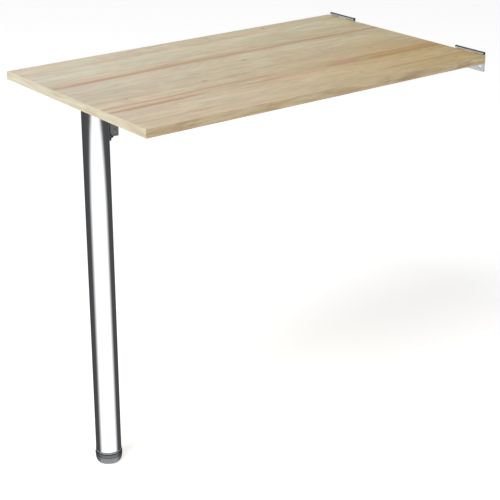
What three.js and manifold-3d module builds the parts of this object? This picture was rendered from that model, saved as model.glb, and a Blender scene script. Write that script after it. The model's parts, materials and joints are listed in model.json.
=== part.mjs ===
// Wall-mounted folding table: a laminated leaf on two strap hinges, with one folding tube leg.
// Millimetres. +X runs from the wall to the free end, +Y to the near side, +Z up.
// The origin lies on the wall, midway between the two wall plates.

import * as THREE from 'three';
import { mergeVertices } from 'three/addons/utils/BufferGeometryUtils.js';
import Module from 'manifold-3d';

const wasm = await Module();
wasm.setup();

// ---- driving dimensions -------------------------------------------------------------------

const TABLE_HEIGHT = 743; // floor to the top surface
const LEAF_LENGTH = 800;
const LEAF_WIDTH = 470;
const LEAF_THICKNESS = 16;
const BAND_THICKNESS = 1.2; // edge bands

const HINGE_LENGTH = 77; // knuckles only, without the pin's head
const HINGE_CENTRES = { near: 191, far: -191 }; // along Y
const HINGE_SHEET = 2;
const WALL_PLATE_HEIGHT = 38; // up to the hinge axis
const KNUCKLE_RADIUS = 3;
const HINGE_PIN_RADIUS = 1.5;
const STRAP_LENGTH = 120;
const STRAP_ROOT_WIDTH = 26;
const STRAP_TIP_WIDTH = 9;
const STRAP_OFFSET = -18; // from the middle of its hinge, along Y

const LEG_INSET = 46; // free end to the leg's axis
const TUBE_RADIUS = 25;
const TUBE_WALL = 1.2;
const TUBE_TOP_DROP = 9; // underside of the leaf to the tube's upper rim
const LEG_PIVOT_BACK = 34.5; // leg's axis to its pivot, towards the wall
const LEG_PIVOT_DROP = 55.5; // underside of the leaf to the pivot
const FOOT_HEIGHT = 27; // floor to the tube's lower rim

const REST_GAP = 0.1; // between a piece and the flat face it lies on
const BAND_GAP = 0.05; // between the board and its glued bands
const RUNNING_GAP = 0.08; // between a pin and its bore
const CUT_MARGIN = 1; // how far a cutting tool passes the faces it cuts
const ROUND_SIDES = 24; // sides of pins and of their bores

// ---- derived places -----------------------------------------------------------------------

const HINGE_AXIS_Z = WALL_PLATE_HEIGHT / 2;
const TOP_Z = HINGE_AXIS_Z - KNUCKLE_RADIUS;
const UNDER_Z = TOP_Z - LEAF_THICKNESS;
const FLOOR_Z = TOP_Z - TABLE_HEIGHT;
const HINGE_AXIS_X = KNUCKLE_RADIUS + 2 * REST_GAP; // knuckles clear the wall
const END_PLATE_GAP = 0.6; // wall plate to the strap's end plate
const LEAF_END_GAP = 0.4; // end plate to the leaf
const END_PLATE_X = HINGE_SHEET + END_PLATE_GAP; // back of the strap's end plate
const LEAF_X = END_PLATE_X + HINGE_SHEET + LEAF_END_GAP; // leaf's face towards the wall
const FREE_X = LEAF_X + LEAF_LENGTH;
const LEG_X = FREE_X - LEG_INSET;
const PIVOT_X = LEG_X - LEG_PIVOT_BACK;
const PIVOT_Z = UNDER_Z - LEG_PIVOT_DROP;
const TUBE_TOP_Z = UNDER_Z - TUBE_TOP_DROP;
const TUBE_LOW_Z = FLOOR_Z + FOOT_HEIGHT;

// ---- materials ----------------------------------------------------------------------------

const material = (color, roughness, metalness) =>
  new THREE.MeshStandardMaterial({ color, roughness, metalness });

const oakDecor = () => material(0xc9b493, 0.5, 0);
const oakBand = () => material(0xd8cbae, 0.55, 0);
const zincSteel = () => material(0xb9bdc2, 0.35, 0.9);
const darkSteel = () => material(0x3c3e40, 0.4, 0.8);
const greySteel = () => material(0x8c9094, 0.45, 0.7);
const chrome = () => material(0xdfe3e8, 0.08, 1);
const blackPlastic = () => material(0x161718, 0.5, 0);
const darkPlastic = () => material(0x4a4c4f, 0.4, 0);
const greyPlastic = () => material(0x9a9c9f, 0.45, 0);

// ---- shape helpers ------------------------------------------------------------------------

function box(x0, x1, y0, y1, z0, z1) {
  return new THREE.BoxGeometry(x1 - x0, y1 - y0, z1 - z0)
    .translate((x0 + x1) / 2, (y0 + y1) / 2, (z0 + z1) / 2);
}

function rodY(radius, y0, y1, x, z, sides = ROUND_SIDES) {
  return new THREE.CylinderGeometry(radius, radius, y1 - y0, sides)
    .translate(x, (y0 + y1) / 2, z);
}

function rodX(radius, x0, x1, y, z, sides = 16) {
  return new THREE.CylinderGeometry(radius, radius, x1 - x0, sides)
    .rotateZ(-Math.PI / 2)
    .translate((x0 + x1) / 2, y, z);
}

function rodZ(radius, z0, z1, x, y, sides = 16) {
  return new THREE.CylinderGeometry(radius, radius, z1 - z0, sides)
    .rotateX(Math.PI / 2)
    .translate(x, y, (z0 + z1) / 2);
}

// Radius of a bore whose flat sides still clear a round pin.
function boreRadius(pinRadius) {
  return (pinRadius + RUNNING_GAP) / Math.cos(Math.PI / ROUND_SIDES);
}

// A solid turned about the vertical through (x, y). The profile holds [radius, height] pairs,
// counter-clockwise with the radius to the right and the height up.
function turned(profile, x, y, sides = 40) {
  const points = profile.map(([radius, height]) => new THREE.Vector2(radius, height));
  return new THREE.LatheGeometry(points, sides).rotateX(Math.PI / 2).translate(x, y, 0);
}

function extrude(shape, depth, curveSegments) {
  return new THREE.ExtrudeGeometry(shape, { depth, curveSegments, bevelEnabled: false });
}

// A shape drawn in plan (X to the right, Y up), given its height in Z.
function plate(shape, z0, z1, curveSegments = 12) {
  return extrude(shape, z1 - z0, curveSegments).translate(0, 0, z0);
}

// A shape drawn in side view (X to the right, Z up), given its width in Y.
function cheek(shape, y0, y1, curveSegments = 12) {
  return extrude(shape, y1 - y0, curveSegments).rotateX(Math.PI / 2).translate(0, y1, 0);
}

// A wire of round section along a curve.
function wire(curve, radius, steps, sides = 8) {
  const section = new THREE.Shape();
  section.absarc(0, 0, radius, 0, 2 * Math.PI, false);
  return new THREE.ExtrudeGeometry(section, {
    steps, extrudePath: curve, curveSegments: sides / 2, bevelEnabled: false,
  });
}

function solid(geometry) {
  const bare = geometry.clone();
  bare.deleteAttribute('normal');
  bare.deleteAttribute('uv');
  const merged = mergeVertices(bare, 1e-4);
  return new wasm.Manifold(new wasm.Mesh({
    numProp: 3,
    vertProperties: new Float32Array(merged.attributes.position.array),
    triVerts: new Uint32Array(merged.index.array),
  }));
}

function joined(first, ...others) {
  return others.reduce((sum, other) => sum.add(solid(other)), solid(first));
}

function cut(body, ...tools) {
  return tools.reduce((rest, tool) => rest.subtract(solid(tool)), body);
}

function toGeometry(body) {
  const mesh = body.getMesh();
  const geometry = new THREE.BufferGeometry();
  geometry.setAttribute('position', new THREE.BufferAttribute(mesh.vertProperties, 3));
  geometry.setIndex(new THREE.BufferAttribute(mesh.triVerts, 1));
  geometry.computeVertexNormals();
  return geometry;
}

const group = new THREE.Group();

function piece(name, geometry, itsMaterial) {
  const mesh = new THREE.Mesh(geometry, itsMaterial);
  mesh.name = name;
  group.add(mesh);
}

// ---- countersunk chipboard screws, driven upwards into the board --------------------------

const SCREW = { head: 3.8, shank: 1.8, length: 13.5, headDepth: 2, sides: 14 };
const HOLE_CLEARANCE = 0.3;

// Profile of the screw, or of the hole it needs when grown, from its head's face upwards.
function screwProfile(faceZ, grow) {
  const tipZ = faceZ + SCREW.length + grow;
  return [
    [0, faceZ - grow],
    [SCREW.head + grow, faceZ - grow],
    [SCREW.shank + grow, faceZ + SCREW.headDepth],
    [SCREW.shank + grow, tipZ - SCREW.shank],
    [0, tipZ],
  ];
}

const boardScrews = [];

function screwHole(x, y, faceZ) {
  return turned(screwProfile(faceZ, HOLE_CLEARANCE), x, y, SCREW.sides);
}

function screwUp(name, x, y, faceZ) {
  boardScrews.push({ x, y, faceZ });
  piece(name, turned(screwProfile(faceZ, 0), x, y, SCREW.sides), zincSteel());
}

// ---- hinges -------------------------------------------------------------------------------

const MIDDLE_KNUCKLE = 27;
const KNUCKLE_GAP = 0.3;
const WALL_HOLE_RADIUS = 2.3;
const WALL_HOLE_SPACING = 27;
const WALL_HOLE_Z = UNDER_Z - 10;
const SINK_LIFT = 0.1; // base of the countersinking cone above the sheet
const END_PLATE_HALF_WIDTH = 31;
const STRAP_ROOT_LENGTH = 12; // straight part before the taper
const SHOULDER_DROP = 1; // leaf's top to the end plate's top, beside the knuckle
const NOTCH_DROP = 0.8; // leaf's top to the wall plate's notch behind the middle knuckle
const STRAP_SCREW_X = [22, 50, 78, 106]; // from the leaf's end
const STRAP_LOW_Z = UNDER_Z - REST_GAP - HINGE_SHEET;
const PIN_BORE = boreRadius(HINGE_PIN_RADIUS);

function hingeBore(y) {
  return rodY(PIN_BORE, y - HINGE_LENGTH, y + HINGE_LENGTH, HINGE_AXIS_X, HINGE_AXIS_Z);
}

// Flat plate on the wall, with a knuckle at each end of the hinge and open screw holes below.
function wallPlate(y) {
  const half = HINGE_LENGTH / 2;
  const recess = MIDDLE_KNUCKLE / 2 + KNUCKLE_GAP;
  const reach = KNUCKLE_RADIUS + CUT_MARGIN;
  const knuckle = (y0, y1) => rodY(KNUCKLE_RADIUS, y0, y1, HINGE_AXIS_X, HINGE_AXIS_Z);
  const body = joined(
    box(0, HINGE_SHEET, y - half, y + half, HINGE_AXIS_Z - WALL_PLATE_HEIGHT, HINGE_AXIS_Z),
    knuckle(y - half, y - recess),
    knuckle(y + recess, y + half),
  );
  const tools = [
    box(-CUT_MARGIN, HINGE_AXIS_X + reach, y - recess, y + recess,
      TOP_Z - NOTCH_DROP, HINGE_AXIS_Z + reach),
    hingeBore(y),
  ];
  for (const offset of [-WALL_HOLE_SPACING, 0, WALL_HOLE_SPACING]) {
    tools.push(rodX(
      WALL_HOLE_RADIUS, -CUT_MARGIN, HINGE_SHEET + CUT_MARGIN, y + offset, WALL_HOLE_Z));
    tools.push(new THREE.ConeGeometry(2 * WALL_HOLE_RADIUS, 2 * WALL_HOLE_RADIUS, 16)
      .rotateZ(Math.PI / 2)
      .translate(HINGE_SHEET - WALL_HOLE_RADIUS + SINK_LIFT, y + offset, WALL_HOLE_Z));
  }
  return toGeometry(cut(body, ...tools));
}

// Tapered strap under the leaf, bent up over the leaf's end face to the middle knuckle.
function strap(y) {
  const middle = y + STRAP_OFFSET;
  const root = STRAP_ROOT_WIDTH / 2;
  const tip = STRAP_TIP_WIDTH / 2;
  const outline = new THREE.Shape();
  outline.moveTo(END_PLATE_X, middle - root);
  outline.lineTo(LEAF_X + STRAP_ROOT_LENGTH, middle - root);
  outline.lineTo(LEAF_X + STRAP_LENGTH - tip, middle - tip);
  outline.absarc(LEAF_X + STRAP_LENGTH - tip, middle, tip, -Math.PI / 2, Math.PI / 2, false);
  outline.lineTo(LEAF_X + STRAP_ROOT_LENGTH, middle + root);
  outline.lineTo(END_PLATE_X, middle + root);
  const halfKnuckle = MIDDLE_KNUCKLE / 2;
  const plateEdge = END_PLATE_X + HINGE_SHEET;
  const body = joined(
    plate(outline, STRAP_LOW_Z, UNDER_Z - REST_GAP, 8),
    box(END_PLATE_X, plateEdge, y - END_PLATE_HALF_WIDTH, y + END_PLATE_HALF_WIDTH,
      STRAP_LOW_Z, TOP_Z - SHOULDER_DROP),
    box(END_PLATE_X, plateEdge, y - halfKnuckle, y + halfKnuckle, STRAP_LOW_Z, HINGE_AXIS_Z),
    rodY(KNUCKLE_RADIUS, y - halfKnuckle, y + halfKnuckle, HINGE_AXIS_X, HINGE_AXIS_Z),
  );
  const holes = STRAP_SCREW_X.map((x) => screwHole(LEAF_X + x, middle, STRAP_LOW_Z));
  return toGeometry(cut(body, hingeBore(y), ...holes));
}

// Pin through the knuckles, with a domed head at the near end.
const HINGE_HEAD = { height: 1.6, topRadius: 1.6 };
const HINGE_PIN_OVERHANG = 0.8;

function hingePin(y) {
  const end = y + HINGE_LENGTH / 2 + REST_GAP;
  const start = y - HINGE_LENGTH / 2 - HINGE_PIN_OVERHANG;
  const { height, topRadius } = HINGE_HEAD;
  return toGeometry(joined(
    rodY(HINGE_PIN_RADIUS, start, end + height / 2, HINGE_AXIS_X, HINGE_AXIS_Z),
    new THREE.CylinderGeometry(topRadius, KNUCKLE_RADIUS, height, 24)
      .translate(HINGE_AXIS_X, end + height / 2, HINGE_AXIS_Z),
  ));
}

for (const [side, y] of Object.entries(HINGE_CENTRES)) {
  piece(`wall_plate_${side}`, wallPlate(y), zincSteel());
  piece(`hinge_strap_${side}`, strap(y), zincSteel());
  piece(`hinge_pin_${side}`, hingePin(y), darkSteel());
  STRAP_SCREW_X.forEach((x, index) => {
    screwUp(`strap_screw_${side}_${index + 1}`, LEAF_X + x, y + STRAP_OFFSET, STRAP_LOW_Z);
  });
}

// ---- leg bracket on the underside of the leaf ---------------------------------------------

const BRACKET_SHEET = 2.5;
const BRACKET_TOP_Z = UNDER_Z - REST_GAP;
const BRACKET_LOW_Z = BRACKET_TOP_Z - BRACKET_SHEET;
const EAR_INNER = 9.5; // half the gap between the two ears
const EAR_DROP = 10.5; // pivot to the ears' lower edge
const EAR_BACK = 7; // pivot to the ears' edge towards the wall
const EAR_CORNER = 1.5;
const EAR_ROOT = 0.5; // how far the ears reach into the sheet
const PIVOT_PIN_RADIUS = 3;
const PIVOT_BORE = boreRadius(PIVOT_PIN_RADIUS);
const BRACKET_SCREWS = [[28, 0], [0, 20], [0, -20], [-66, 0], [-91, 0]]; // from the leg's axis

// Hourglass outline: a wide rounded end above the leg, a waist, and a round lobe to the wall.
// The numbers inside its curves are the lengths of their handles.
function bracketOutline() {
  const wide = 25; // half widths
  const waist = 8.5;
  const lobe = 16;
  const frontX = LEG_X + 11; // centre of the rounded end
  const shoulderX = LEG_X - 34;
  const waistX = LEG_X - 66;
  const lobeX = LEG_X - 90;
  const meet = 0.55 * Math.PI; // where the lobe's arc ends
  const meetX = lobeX + lobe * Math.cos(Math.PI - meet);
  const meetY = lobe * Math.sin(Math.PI - meet);
  const outline = new THREE.Shape();
  outline.moveTo(shoulderX, -wide);
  outline.lineTo(frontX, -wide);
  outline.absarc(frontX, 0, wide, -Math.PI / 2, Math.PI / 2, false);
  outline.lineTo(shoulderX, wide);
  outline.bezierCurveTo(shoulderX - 16, wide, waistX + 12, waist, waistX, waist);
  outline.bezierCurveTo(waistX - 8, waist, meetX + 7, meetY, meetX, meetY);
  outline.absarc(lobeX, 0, lobe, Math.PI - meet, Math.PI + meet, false);
  outline.bezierCurveTo(meetX + 7, -meetY, waistX - 8, -waist, waistX, -waist);
  outline.bezierCurveTo(waistX + 12, -waist, shoulderX - 16, -wide, shoulderX, -wide);
  return outline;
}

// Ear that carries the pivot pin. Its corner towards the leg is round about the pivot, so that
// the tube swings past it.
function earOutline() {
  const backX = PIVOT_X - EAR_BACK;
  const lowZ = PIVOT_Z - EAR_DROP;
  const topZ = BRACKET_TOP_Z - EAR_ROOT;
  const outline = new THREE.Shape();
  outline.moveTo(backX, topZ);
  outline.lineTo(backX, lowZ + EAR_CORNER);
  outline.absarc(backX + EAR_CORNER, lowZ + EAR_CORNER, EAR_CORNER, Math.PI, 1.5 * Math.PI, false);
  outline.lineTo(PIVOT_X, lowZ);
  outline.absarc(PIVOT_X, PIVOT_Z, EAR_DROP, -Math.PI / 2, 0, false);
  outline.lineTo(PIVOT_X + EAR_DROP, topZ);
  return outline;
}

function legBracket() {
  const outer = EAR_INNER + BRACKET_SHEET;
  const body = joined(
    plate(bracketOutline(), BRACKET_LOW_Z, BRACKET_TOP_Z, 10),
    cheek(earOutline(), EAR_INNER, outer, 8),
    cheek(earOutline(), -outer, -EAR_INNER, 8),
  );
  const holes = BRACKET_SCREWS.map(([x, y]) => screwHole(LEG_X + x, y, BRACKET_LOW_Z));
  const bore = rodY(PIVOT_BORE, -2 * outer, 2 * outer, PIVOT_X, PIVOT_Z);
  return toGeometry(cut(body, bore, ...holes));
}

// Pin with a low flat head, held by a clip at the far end.
const PIVOT_HEAD = { radius: 4.6, topRadius: 4.2, height: 0.8 };
const PIN_SHOULDER = EAR_INNER + BRACKET_SHEET + REST_GAP;
const CLIP_RADIUS = 5.5;
const CLIP_THICKNESS = 1;
const CLIP_SLOT = 1.9; // half the width of its opening
const PIN_TAIL = 2; // beyond the clip

function pivotPin() {
  const far = -(PIN_SHOULDER + CLIP_THICKNESS + PIN_TAIL);
  const { radius, topRadius, height } = PIVOT_HEAD;
  return toGeometry(joined(
    rodY(PIVOT_PIN_RADIUS, far, PIN_SHOULDER + height / 2, PIVOT_X, PIVOT_Z),
    new THREE.CylinderGeometry(topRadius, radius, height, 24)
      .translate(PIVOT_X, PIN_SHOULDER + height / 2, PIVOT_Z),
  ));
}

// Open spring clip pushed onto the pin from below.
function pivotClip() {
  const y0 = -(PIN_SHOULDER + CLIP_THICKNESS);
  const y1 = -PIN_SHOULDER;
  const disc = joined(rodY(CLIP_RADIUS, y0, y1, PIVOT_X, PIVOT_Z));
  const low = y0 - CUT_MARGIN;
  const high = y1 + CUT_MARGIN;
  const slot = box(
    PIVOT_X - CLIP_SLOT, PIVOT_X + CLIP_SLOT, low, high, PIVOT_Z - 2 * CLIP_RADIUS, PIVOT_Z);
  return toGeometry(cut(disc, rodY(PIVOT_BORE, low, high, PIVOT_X, PIVOT_Z), slot));
}

// Block that the tube's open top seats over. Its hollow side is an arc about the pivot, so the
// tube can swing off it.
const PLUG_HALF_LENGTH = 16;
const PLUG_HALF_WIDTH = 15;
const PLUG_DEPTH = 26;
const PLUG_ARC = 53.4; // clears the rim inside the collar
const PLUG_CORNER = 4;

function seatPlug() {
  const lowZ = UNDER_Z - PLUG_DEPTH;
  const headZ = BRACKET_LOW_Z - REST_GAP;
  const lowAngle = Math.asin((lowZ - PIVOT_Z) / PLUG_ARC);
  const highAngle = Math.acos((LEG_PIVOT_BACK - PLUG_HALF_LENGTH) / PLUG_ARC);
  const farX = LEG_X + PLUG_HALF_LENGTH;
  const cornerX = farX - PLUG_CORNER;
  const outline = new THREE.Shape();
  outline.moveTo(LEG_X - PLUG_HALF_LENGTH, headZ);
  outline.absarc(PIVOT_X, PIVOT_Z, PLUG_ARC, highAngle, lowAngle, true);
  outline.lineTo(cornerX, lowZ);
  outline.absarc(cornerX, lowZ + PLUG_CORNER, PLUG_CORNER, -Math.PI / 2, 0, false);
  outline.lineTo(farX, headZ);
  return cheek(outline, -PLUG_HALF_WIDTH, PLUG_HALF_WIDTH, 12);
}

piece('leg_bracket', legBracket(), greySteel());
piece('leg_pivot_pin', pivotPin(), greySteel());
piece('leg_pivot_clip', pivotClip(), darkSteel());
piece('seat_plug', seatPlug(), darkPlastic());
BRACKET_SCREWS.forEach(([x, y], index) => {
  screwUp(`bracket_screw_${index + 1}`, LEG_X + x, y, BRACKET_LOW_Z);
});

// ---- safety hook: a screw eye in the leaf and a wire hook linked through it ----------------

const HOOK_WIRE = 1.3;
const HOOK_LOOP = 2.7;
const HOOK_REACH = 63; // from its pivot
const HOOK_TIP = 29;
const HOOK_BEND = 4;
const EYE_WIRE = 1;
const EYE_LOOP = 4.6;
const EYE_SHANK = 11; // in the board
const HOOK_X = FREE_X - 37;
const HOOK_Y = -34;
const HOOK_Z = UNDER_Z - 13;
const EYE_CENTRE_Z = HOOK_Z + EYE_LOOP;
const EYE_HOLE_RADIUS = 1.4;

function hookEye() {
  const ring = new THREE.TorusGeometry(EYE_LOOP, EYE_WIRE, 8, 24)
    .rotateY(Math.PI / 2)
    .translate(HOOK_X, HOOK_Y, EYE_CENTRE_Z);
  const shank = rodZ(EYE_WIRE, EYE_CENTRE_Z + EYE_LOOP, UNDER_Z + EYE_SHANK, HOOK_X, HOOK_Y, 12);
  return toGeometry(joined(ring, shank));
}

// Wire hook, stowed towards the wall: a closed loop in the eye, a shank and a bent-down tip.
function safetyHook() {
  const at = (dx, dz) => new THREE.Vector3(HOOK_X - dx, HOOK_Y, HOOK_Z + dz);
  const path = new THREE.CurvePath();
  path.add(new THREE.LineCurve3(at(HOOK_LOOP, 0), at(HOOK_REACH - HOOK_BEND, 0)));
  path.add(new THREE.QuadraticBezierCurve3(
    at(HOOK_REACH - HOOK_BEND, 0), at(HOOK_REACH, 0), at(HOOK_REACH, -HOOK_BEND)));
  path.add(new THREE.LineCurve3(at(HOOK_REACH, -HOOK_BEND), at(HOOK_REACH, -HOOK_TIP)));
  const loop = new THREE.TorusGeometry(HOOK_LOOP, HOOK_WIRE, 8, 20)
    .rotateX(Math.PI / 2)
    .translate(HOOK_X, HOOK_Y, HOOK_Z);
  return toGeometry(joined(wire(path, HOOK_WIRE, 18), loop));
}

piece('hook_eye', hookEye(), zincSteel());
piece('safety_hook', safetyHook(), zincSteel());

// ---- leaf: chipboard with decor faces, and four glued edge bands --------------------------

const HALF_WIDTH = LEAF_WIDTH / 2;
const CORE_HALF_WIDTH = HALF_WIDTH - BAND_THICKNESS - BAND_GAP;
const CORE_X0 = LEAF_X + BAND_THICKNESS + BAND_GAP;
const CORE_X1 = FREE_X - BAND_THICKNESS - BAND_GAP;

function board() {
  const body = joined(box(CORE_X0, CORE_X1, -CORE_HALF_WIDTH, CORE_HALF_WIDTH, UNDER_Z, TOP_Z));
  const holes = boardScrews.map(({ x, y, faceZ }) => screwHole(x, y, faceZ));
  const eyeHole = rodZ(EYE_HOLE_RADIUS, UNDER_Z - CUT_MARGIN, UNDER_Z + EYE_SHANK + CUT_MARGIN,
    HOOK_X, HOOK_Y, 12);
  return toGeometry(cut(body, eyeHole, ...holes));
}

function longBand(inner, outer) {
  return box(LEAF_X, FREE_X, inner, outer, UNDER_Z, TOP_Z);
}

function endBand(x0, x1) {
  return box(x0, x1, -CORE_HALF_WIDTH, CORE_HALF_WIDTH, UNDER_Z, TOP_Z);
}

piece('tabletop_board', board(), oakDecor());
piece('edge_band_near', longBand(HALF_WIDTH - BAND_THICKNESS, HALF_WIDTH), oakDecor());
piece('edge_band_far', longBand(-HALF_WIDTH, BAND_THICKNESS - HALF_WIDTH), oakDecor());
piece('edge_band_free_end', endBand(FREE_X - BAND_THICKNESS, FREE_X), oakBand());
piece('edge_band_wall_end', endBand(LEAF_X, LEAF_X + BAND_THICKNESS), oakBand());

// ---- folding leg --------------------------------------------------------------------------

const TUBE_BORE = TUBE_RADIUS - TUBE_WALL;
const ARM_SHEET = 2.5;
const ARM_EAR_GAP = 0.5;
const ARM_TUBE_GAP = 0.6;
const ARM_OUTER = EAR_INNER - ARM_EAR_GAP; // half the width of the channel
const ARM_FRONT = LEG_X - TUBE_RADIUS - ARM_TUBE_GAP; // channel's web, on the tube
const ARM_TOP_Z = UNDER_Z - 13;
const WEB_LOW_Z = UNDER_Z - 60; // the web stops above the release lever
const ARM_BACK = 6.5; // pivot to the channel's edge towards the wall
const ARM_TOP_ROUND = 9;
const ARM_SLANT = 1.2 * Math.PI; // where the round about the pivot meets the lobe
const RIVET_Z = [UNDER_Z - 23, UNDER_Z - 43];
const RIVET = { radius: 2.4, head: 4, headHeight: 1.6, tail: 3.6, tailHeight: 1.4, root: 1 };
const RIVET_HOLE = RIVET.radius + 0.15;
const RIVET_TAIL_GAP = 0.4; // tube's inside to the rivet's tail
const LEVER_PIN_X = LEG_X - 29;
const LEVER_PIN_Z = UNDER_Z - 66;
const LEVER_PIN_RADIUS = 1.5;
const LEVER_PIN_OVERHANG = 0.4;
const LEVER_BORE = boreRadius(LEVER_PIN_RADIUS);
const ARM_LOBE = ARM_FRONT - LEVER_PIN_X; // round end about the lever's pin
const ARM_LOW_Z = LEVER_PIN_Z - ARM_LOBE;

function legTube() {
  const tube = joined(turned([
    [TUBE_BORE, TUBE_LOW_Z],
    [TUBE_RADIUS, TUBE_LOW_Z],
    [TUBE_RADIUS, TUBE_TOP_Z],
    [TUBE_BORE, TUBE_TOP_Z],
    [TUBE_BORE, TUBE_LOW_Z],
  ], LEG_X, 0, 56));
  const holes = RIVET_Z.map((z) =>
    rodX(RIVET_HOLE, ARM_FRONT, LEG_X - TUBE_BORE + 2 * RIVET_HOLE, 0, z));
  return toGeometry(cut(tube, ...holes));
}

// Ring on the tube's upper rim, with a skirt inside the tube.
const COLLAR = { height: 2.8, chamfer: 1.2, lip: 0.3, skirt: 10, skirtWall: 1, skirtGap: 0.2 };

function tubeCollar() {
  const seat = TUBE_TOP_Z + REST_GAP;
  const low = seat - COLLAR.skirt;
  const top = seat + COLLAR.height;
  const skirt = TUBE_BORE - COLLAR.skirtGap;
  const inner = skirt - COLLAR.skirtWall;
  const outer = TUBE_RADIUS + COLLAR.lip;
  return turned([
    [inner, low],
    [skirt, low],
    [skirt, seat],
    [outer, seat],
    [outer, top - COLLAR.chamfer],
    [outer - COLLAR.chamfer, top],
    [inner, top],
    [inner, low],
  ], LEG_X, 0);
}

// Channel riveted to the back of the tube: its two flanges turn on the pivot pin, and their
// lower lobes carry the release lever.
function hingeArm() {
  const backX = PIVOT_X - ARM_BACK;
  const roundX = backX + ARM_TOP_ROUND;
  const side = new THREE.Shape();
  side.moveTo(ARM_FRONT, WEB_LOW_Z);
  side.lineTo(ARM_FRONT, ARM_TOP_Z);
  side.lineTo(roundX, ARM_TOP_Z);
  side.absarc(roundX, ARM_TOP_Z - ARM_TOP_ROUND, ARM_TOP_ROUND, Math.PI / 2, Math.PI, false);
  side.lineTo(backX, PIVOT_Z);
  side.absarc(PIVOT_X, PIVOT_Z, ARM_BACK, Math.PI, ARM_SLANT, false);
  side.absarc(LEVER_PIN_X, LEVER_PIN_Z, ARM_LOBE, ARM_SLANT, 2 * Math.PI, false);
  const inner = ARM_OUTER - ARM_SHEET;
  const lowZ = ARM_LOW_Z - CUT_MARGIN;
  const hollow = box(backX - CUT_MARGIN, ARM_FRONT - ARM_SHEET, -inner, inner,
    lowZ, ARM_TOP_Z + CUT_MARGIN);
  const leverRoom = box(LEVER_PIN_X, ARM_FRONT + CUT_MARGIN, -inner, inner, lowZ, WEB_LOW_Z);
  const reach = 2 * ARM_OUTER;
  const rivetHoles = RIVET_Z.map((z) =>
    rodX(RIVET_HOLE, ARM_FRONT - 2 * ARM_SHEET, ARM_FRONT + CUT_MARGIN, 0, z));
  return toGeometry(cut(
    joined(cheek(side, -ARM_OUTER, ARM_OUTER, 8)), hollow, leverRoom, ...rivetHoles,
    rodY(PIVOT_BORE, -reach, reach, PIVOT_X, PIVOT_Z),
    rodY(LEVER_BORE, -reach, reach, LEVER_PIN_X, LEVER_PIN_Z),
  ));
}

// Rivet through the channel's web and the tube's wall, with a head at each end.
function armRivet(z) {
  const outside = ARM_FRONT - ARM_SHEET - REST_GAP;
  const inside = LEG_X - TUBE_BORE + RIVET_TAIL_GAP;
  return toGeometry(joined(
    rodX(RIVET.radius, outside - RIVET.root, inside + RIVET.root, 0, z),
    rodX(RIVET.head, outside - RIVET.headHeight, outside, 0, z),
    rodX(RIVET.tail, inside, inside + RIVET.tailHeight, 0, z),
  ));
}

// Lever between the flanges; its tab hangs below the channel, under a finger.
const LEVER_HALF_WIDTH = 3;
const LEVER_HALF_THICKNESS = 2.4;
const LEVER_TAB = 8; // pin to the centre of the tab's round end
const LEVER_TOP = 1.5; // pin to the centre of its round top

function releaseLever() {
  const side = new THREE.Shape();
  const x = LEVER_PIN_X;
  const z = LEVER_PIN_Z;
  side.absarc(x, z - LEVER_TAB, LEVER_HALF_THICKNESS, Math.PI, 2 * Math.PI, false);
  side.absarc(x, z + LEVER_TOP, LEVER_HALF_THICKNESS, 0, Math.PI, false);
  const body = joined(cheek(side, -LEVER_HALF_WIDTH, LEVER_HALF_WIDTH));
  const reach = 2 * LEVER_HALF_WIDTH;
  return toGeometry(cut(body, rodY(LEVER_BORE, -reach, reach, x, z)));
}

function leverPin() {
  const half = ARM_OUTER + LEVER_PIN_OVERHANG;
  return rodY(LEVER_PIN_RADIUS, -half, half, LEVER_PIN_X, LEVER_PIN_Z);
}

// Torsion spring around the lever's pin, between the lever and the near flange.
function leverSpring() {
  const turns = 2.5;
  const coil = 2.9;
  const wireRadius = 0.4;
  const start = LEVER_HALF_WIDTH + 0.7;
  const pitch = 0.95;
  class Coil extends THREE.Curve {
    getPoint(t, target = new THREE.Vector3()) {
      const angle = 2 * Math.PI * turns * t;
      return target.set(
        LEVER_PIN_X + coil * Math.cos(angle),
        start + pitch * turns * t,
        LEVER_PIN_Z + coil * Math.sin(angle),
      );
    }
  }
  return wire(new Coil(), wireRadius, 36, 6);
}

piece('leg_tube', legTube(), chrome());
piece('tube_collar', tubeCollar(), blackPlastic());
piece('hinge_arm', hingeArm(), blackPlastic());
RIVET_Z.forEach((z, index) => piece(`arm_rivet_${index + 1}`, armRivet(z), darkSteel()));
piece('release_lever', releaseLever(), blackPlastic());
piece('lever_pin', leverPin(), darkSteel());
piece('lever_spring', leverSpring(), zincSteel());

// ---- adjustable foot ----------------------------------------------------------------------

const STUD_RADIUS = 4;
const STUD_LENGTH = 38;
const STUD_GAP = 0.2; // between the stud and the bores around it
const STUD_CHAMFER = 1;
const STUD_FOOT_GAP = 0.5; // base's top to the stud's lower end
const INSERT_LENGTH = 26; // inside the tube
const INSERT_FLANGE = 4.8; // height of its visible ring
const INSERT_RADIUS = TUBE_RADIUS + 0.4;
const INSERT_GAP = 0.3; // between its body and the tube's bore
const INSERT_BEVEL = 1.2; // on the ring's lower edge
const INSERT_LEAD = 2; // chamfer on the body's upper end
const FOOT_RADIUS = 26.4;
const BASE_TOP_Z = FLOOR_Z + 14.5;
const BASE_FLAT = 20; // radius of the flat face on the floor
const BASE_SHRINK = 0.3; // disc's rim to the base's rim
const BASE_RIM = 1; // height of the base's upright rim
const BASE_ARC_STEPS = 5;
const DISC_BASE_GAP = 0.3;
const DISC_LOW_BEVEL = 1;
const DISC_TOP_BEVEL = 1.8;
const DISC_GAP = 1; // between the ring and the disc
const DISC_TOP_Z = TUBE_LOW_Z - REST_GAP - INSERT_FLANGE - DISC_GAP;

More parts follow.
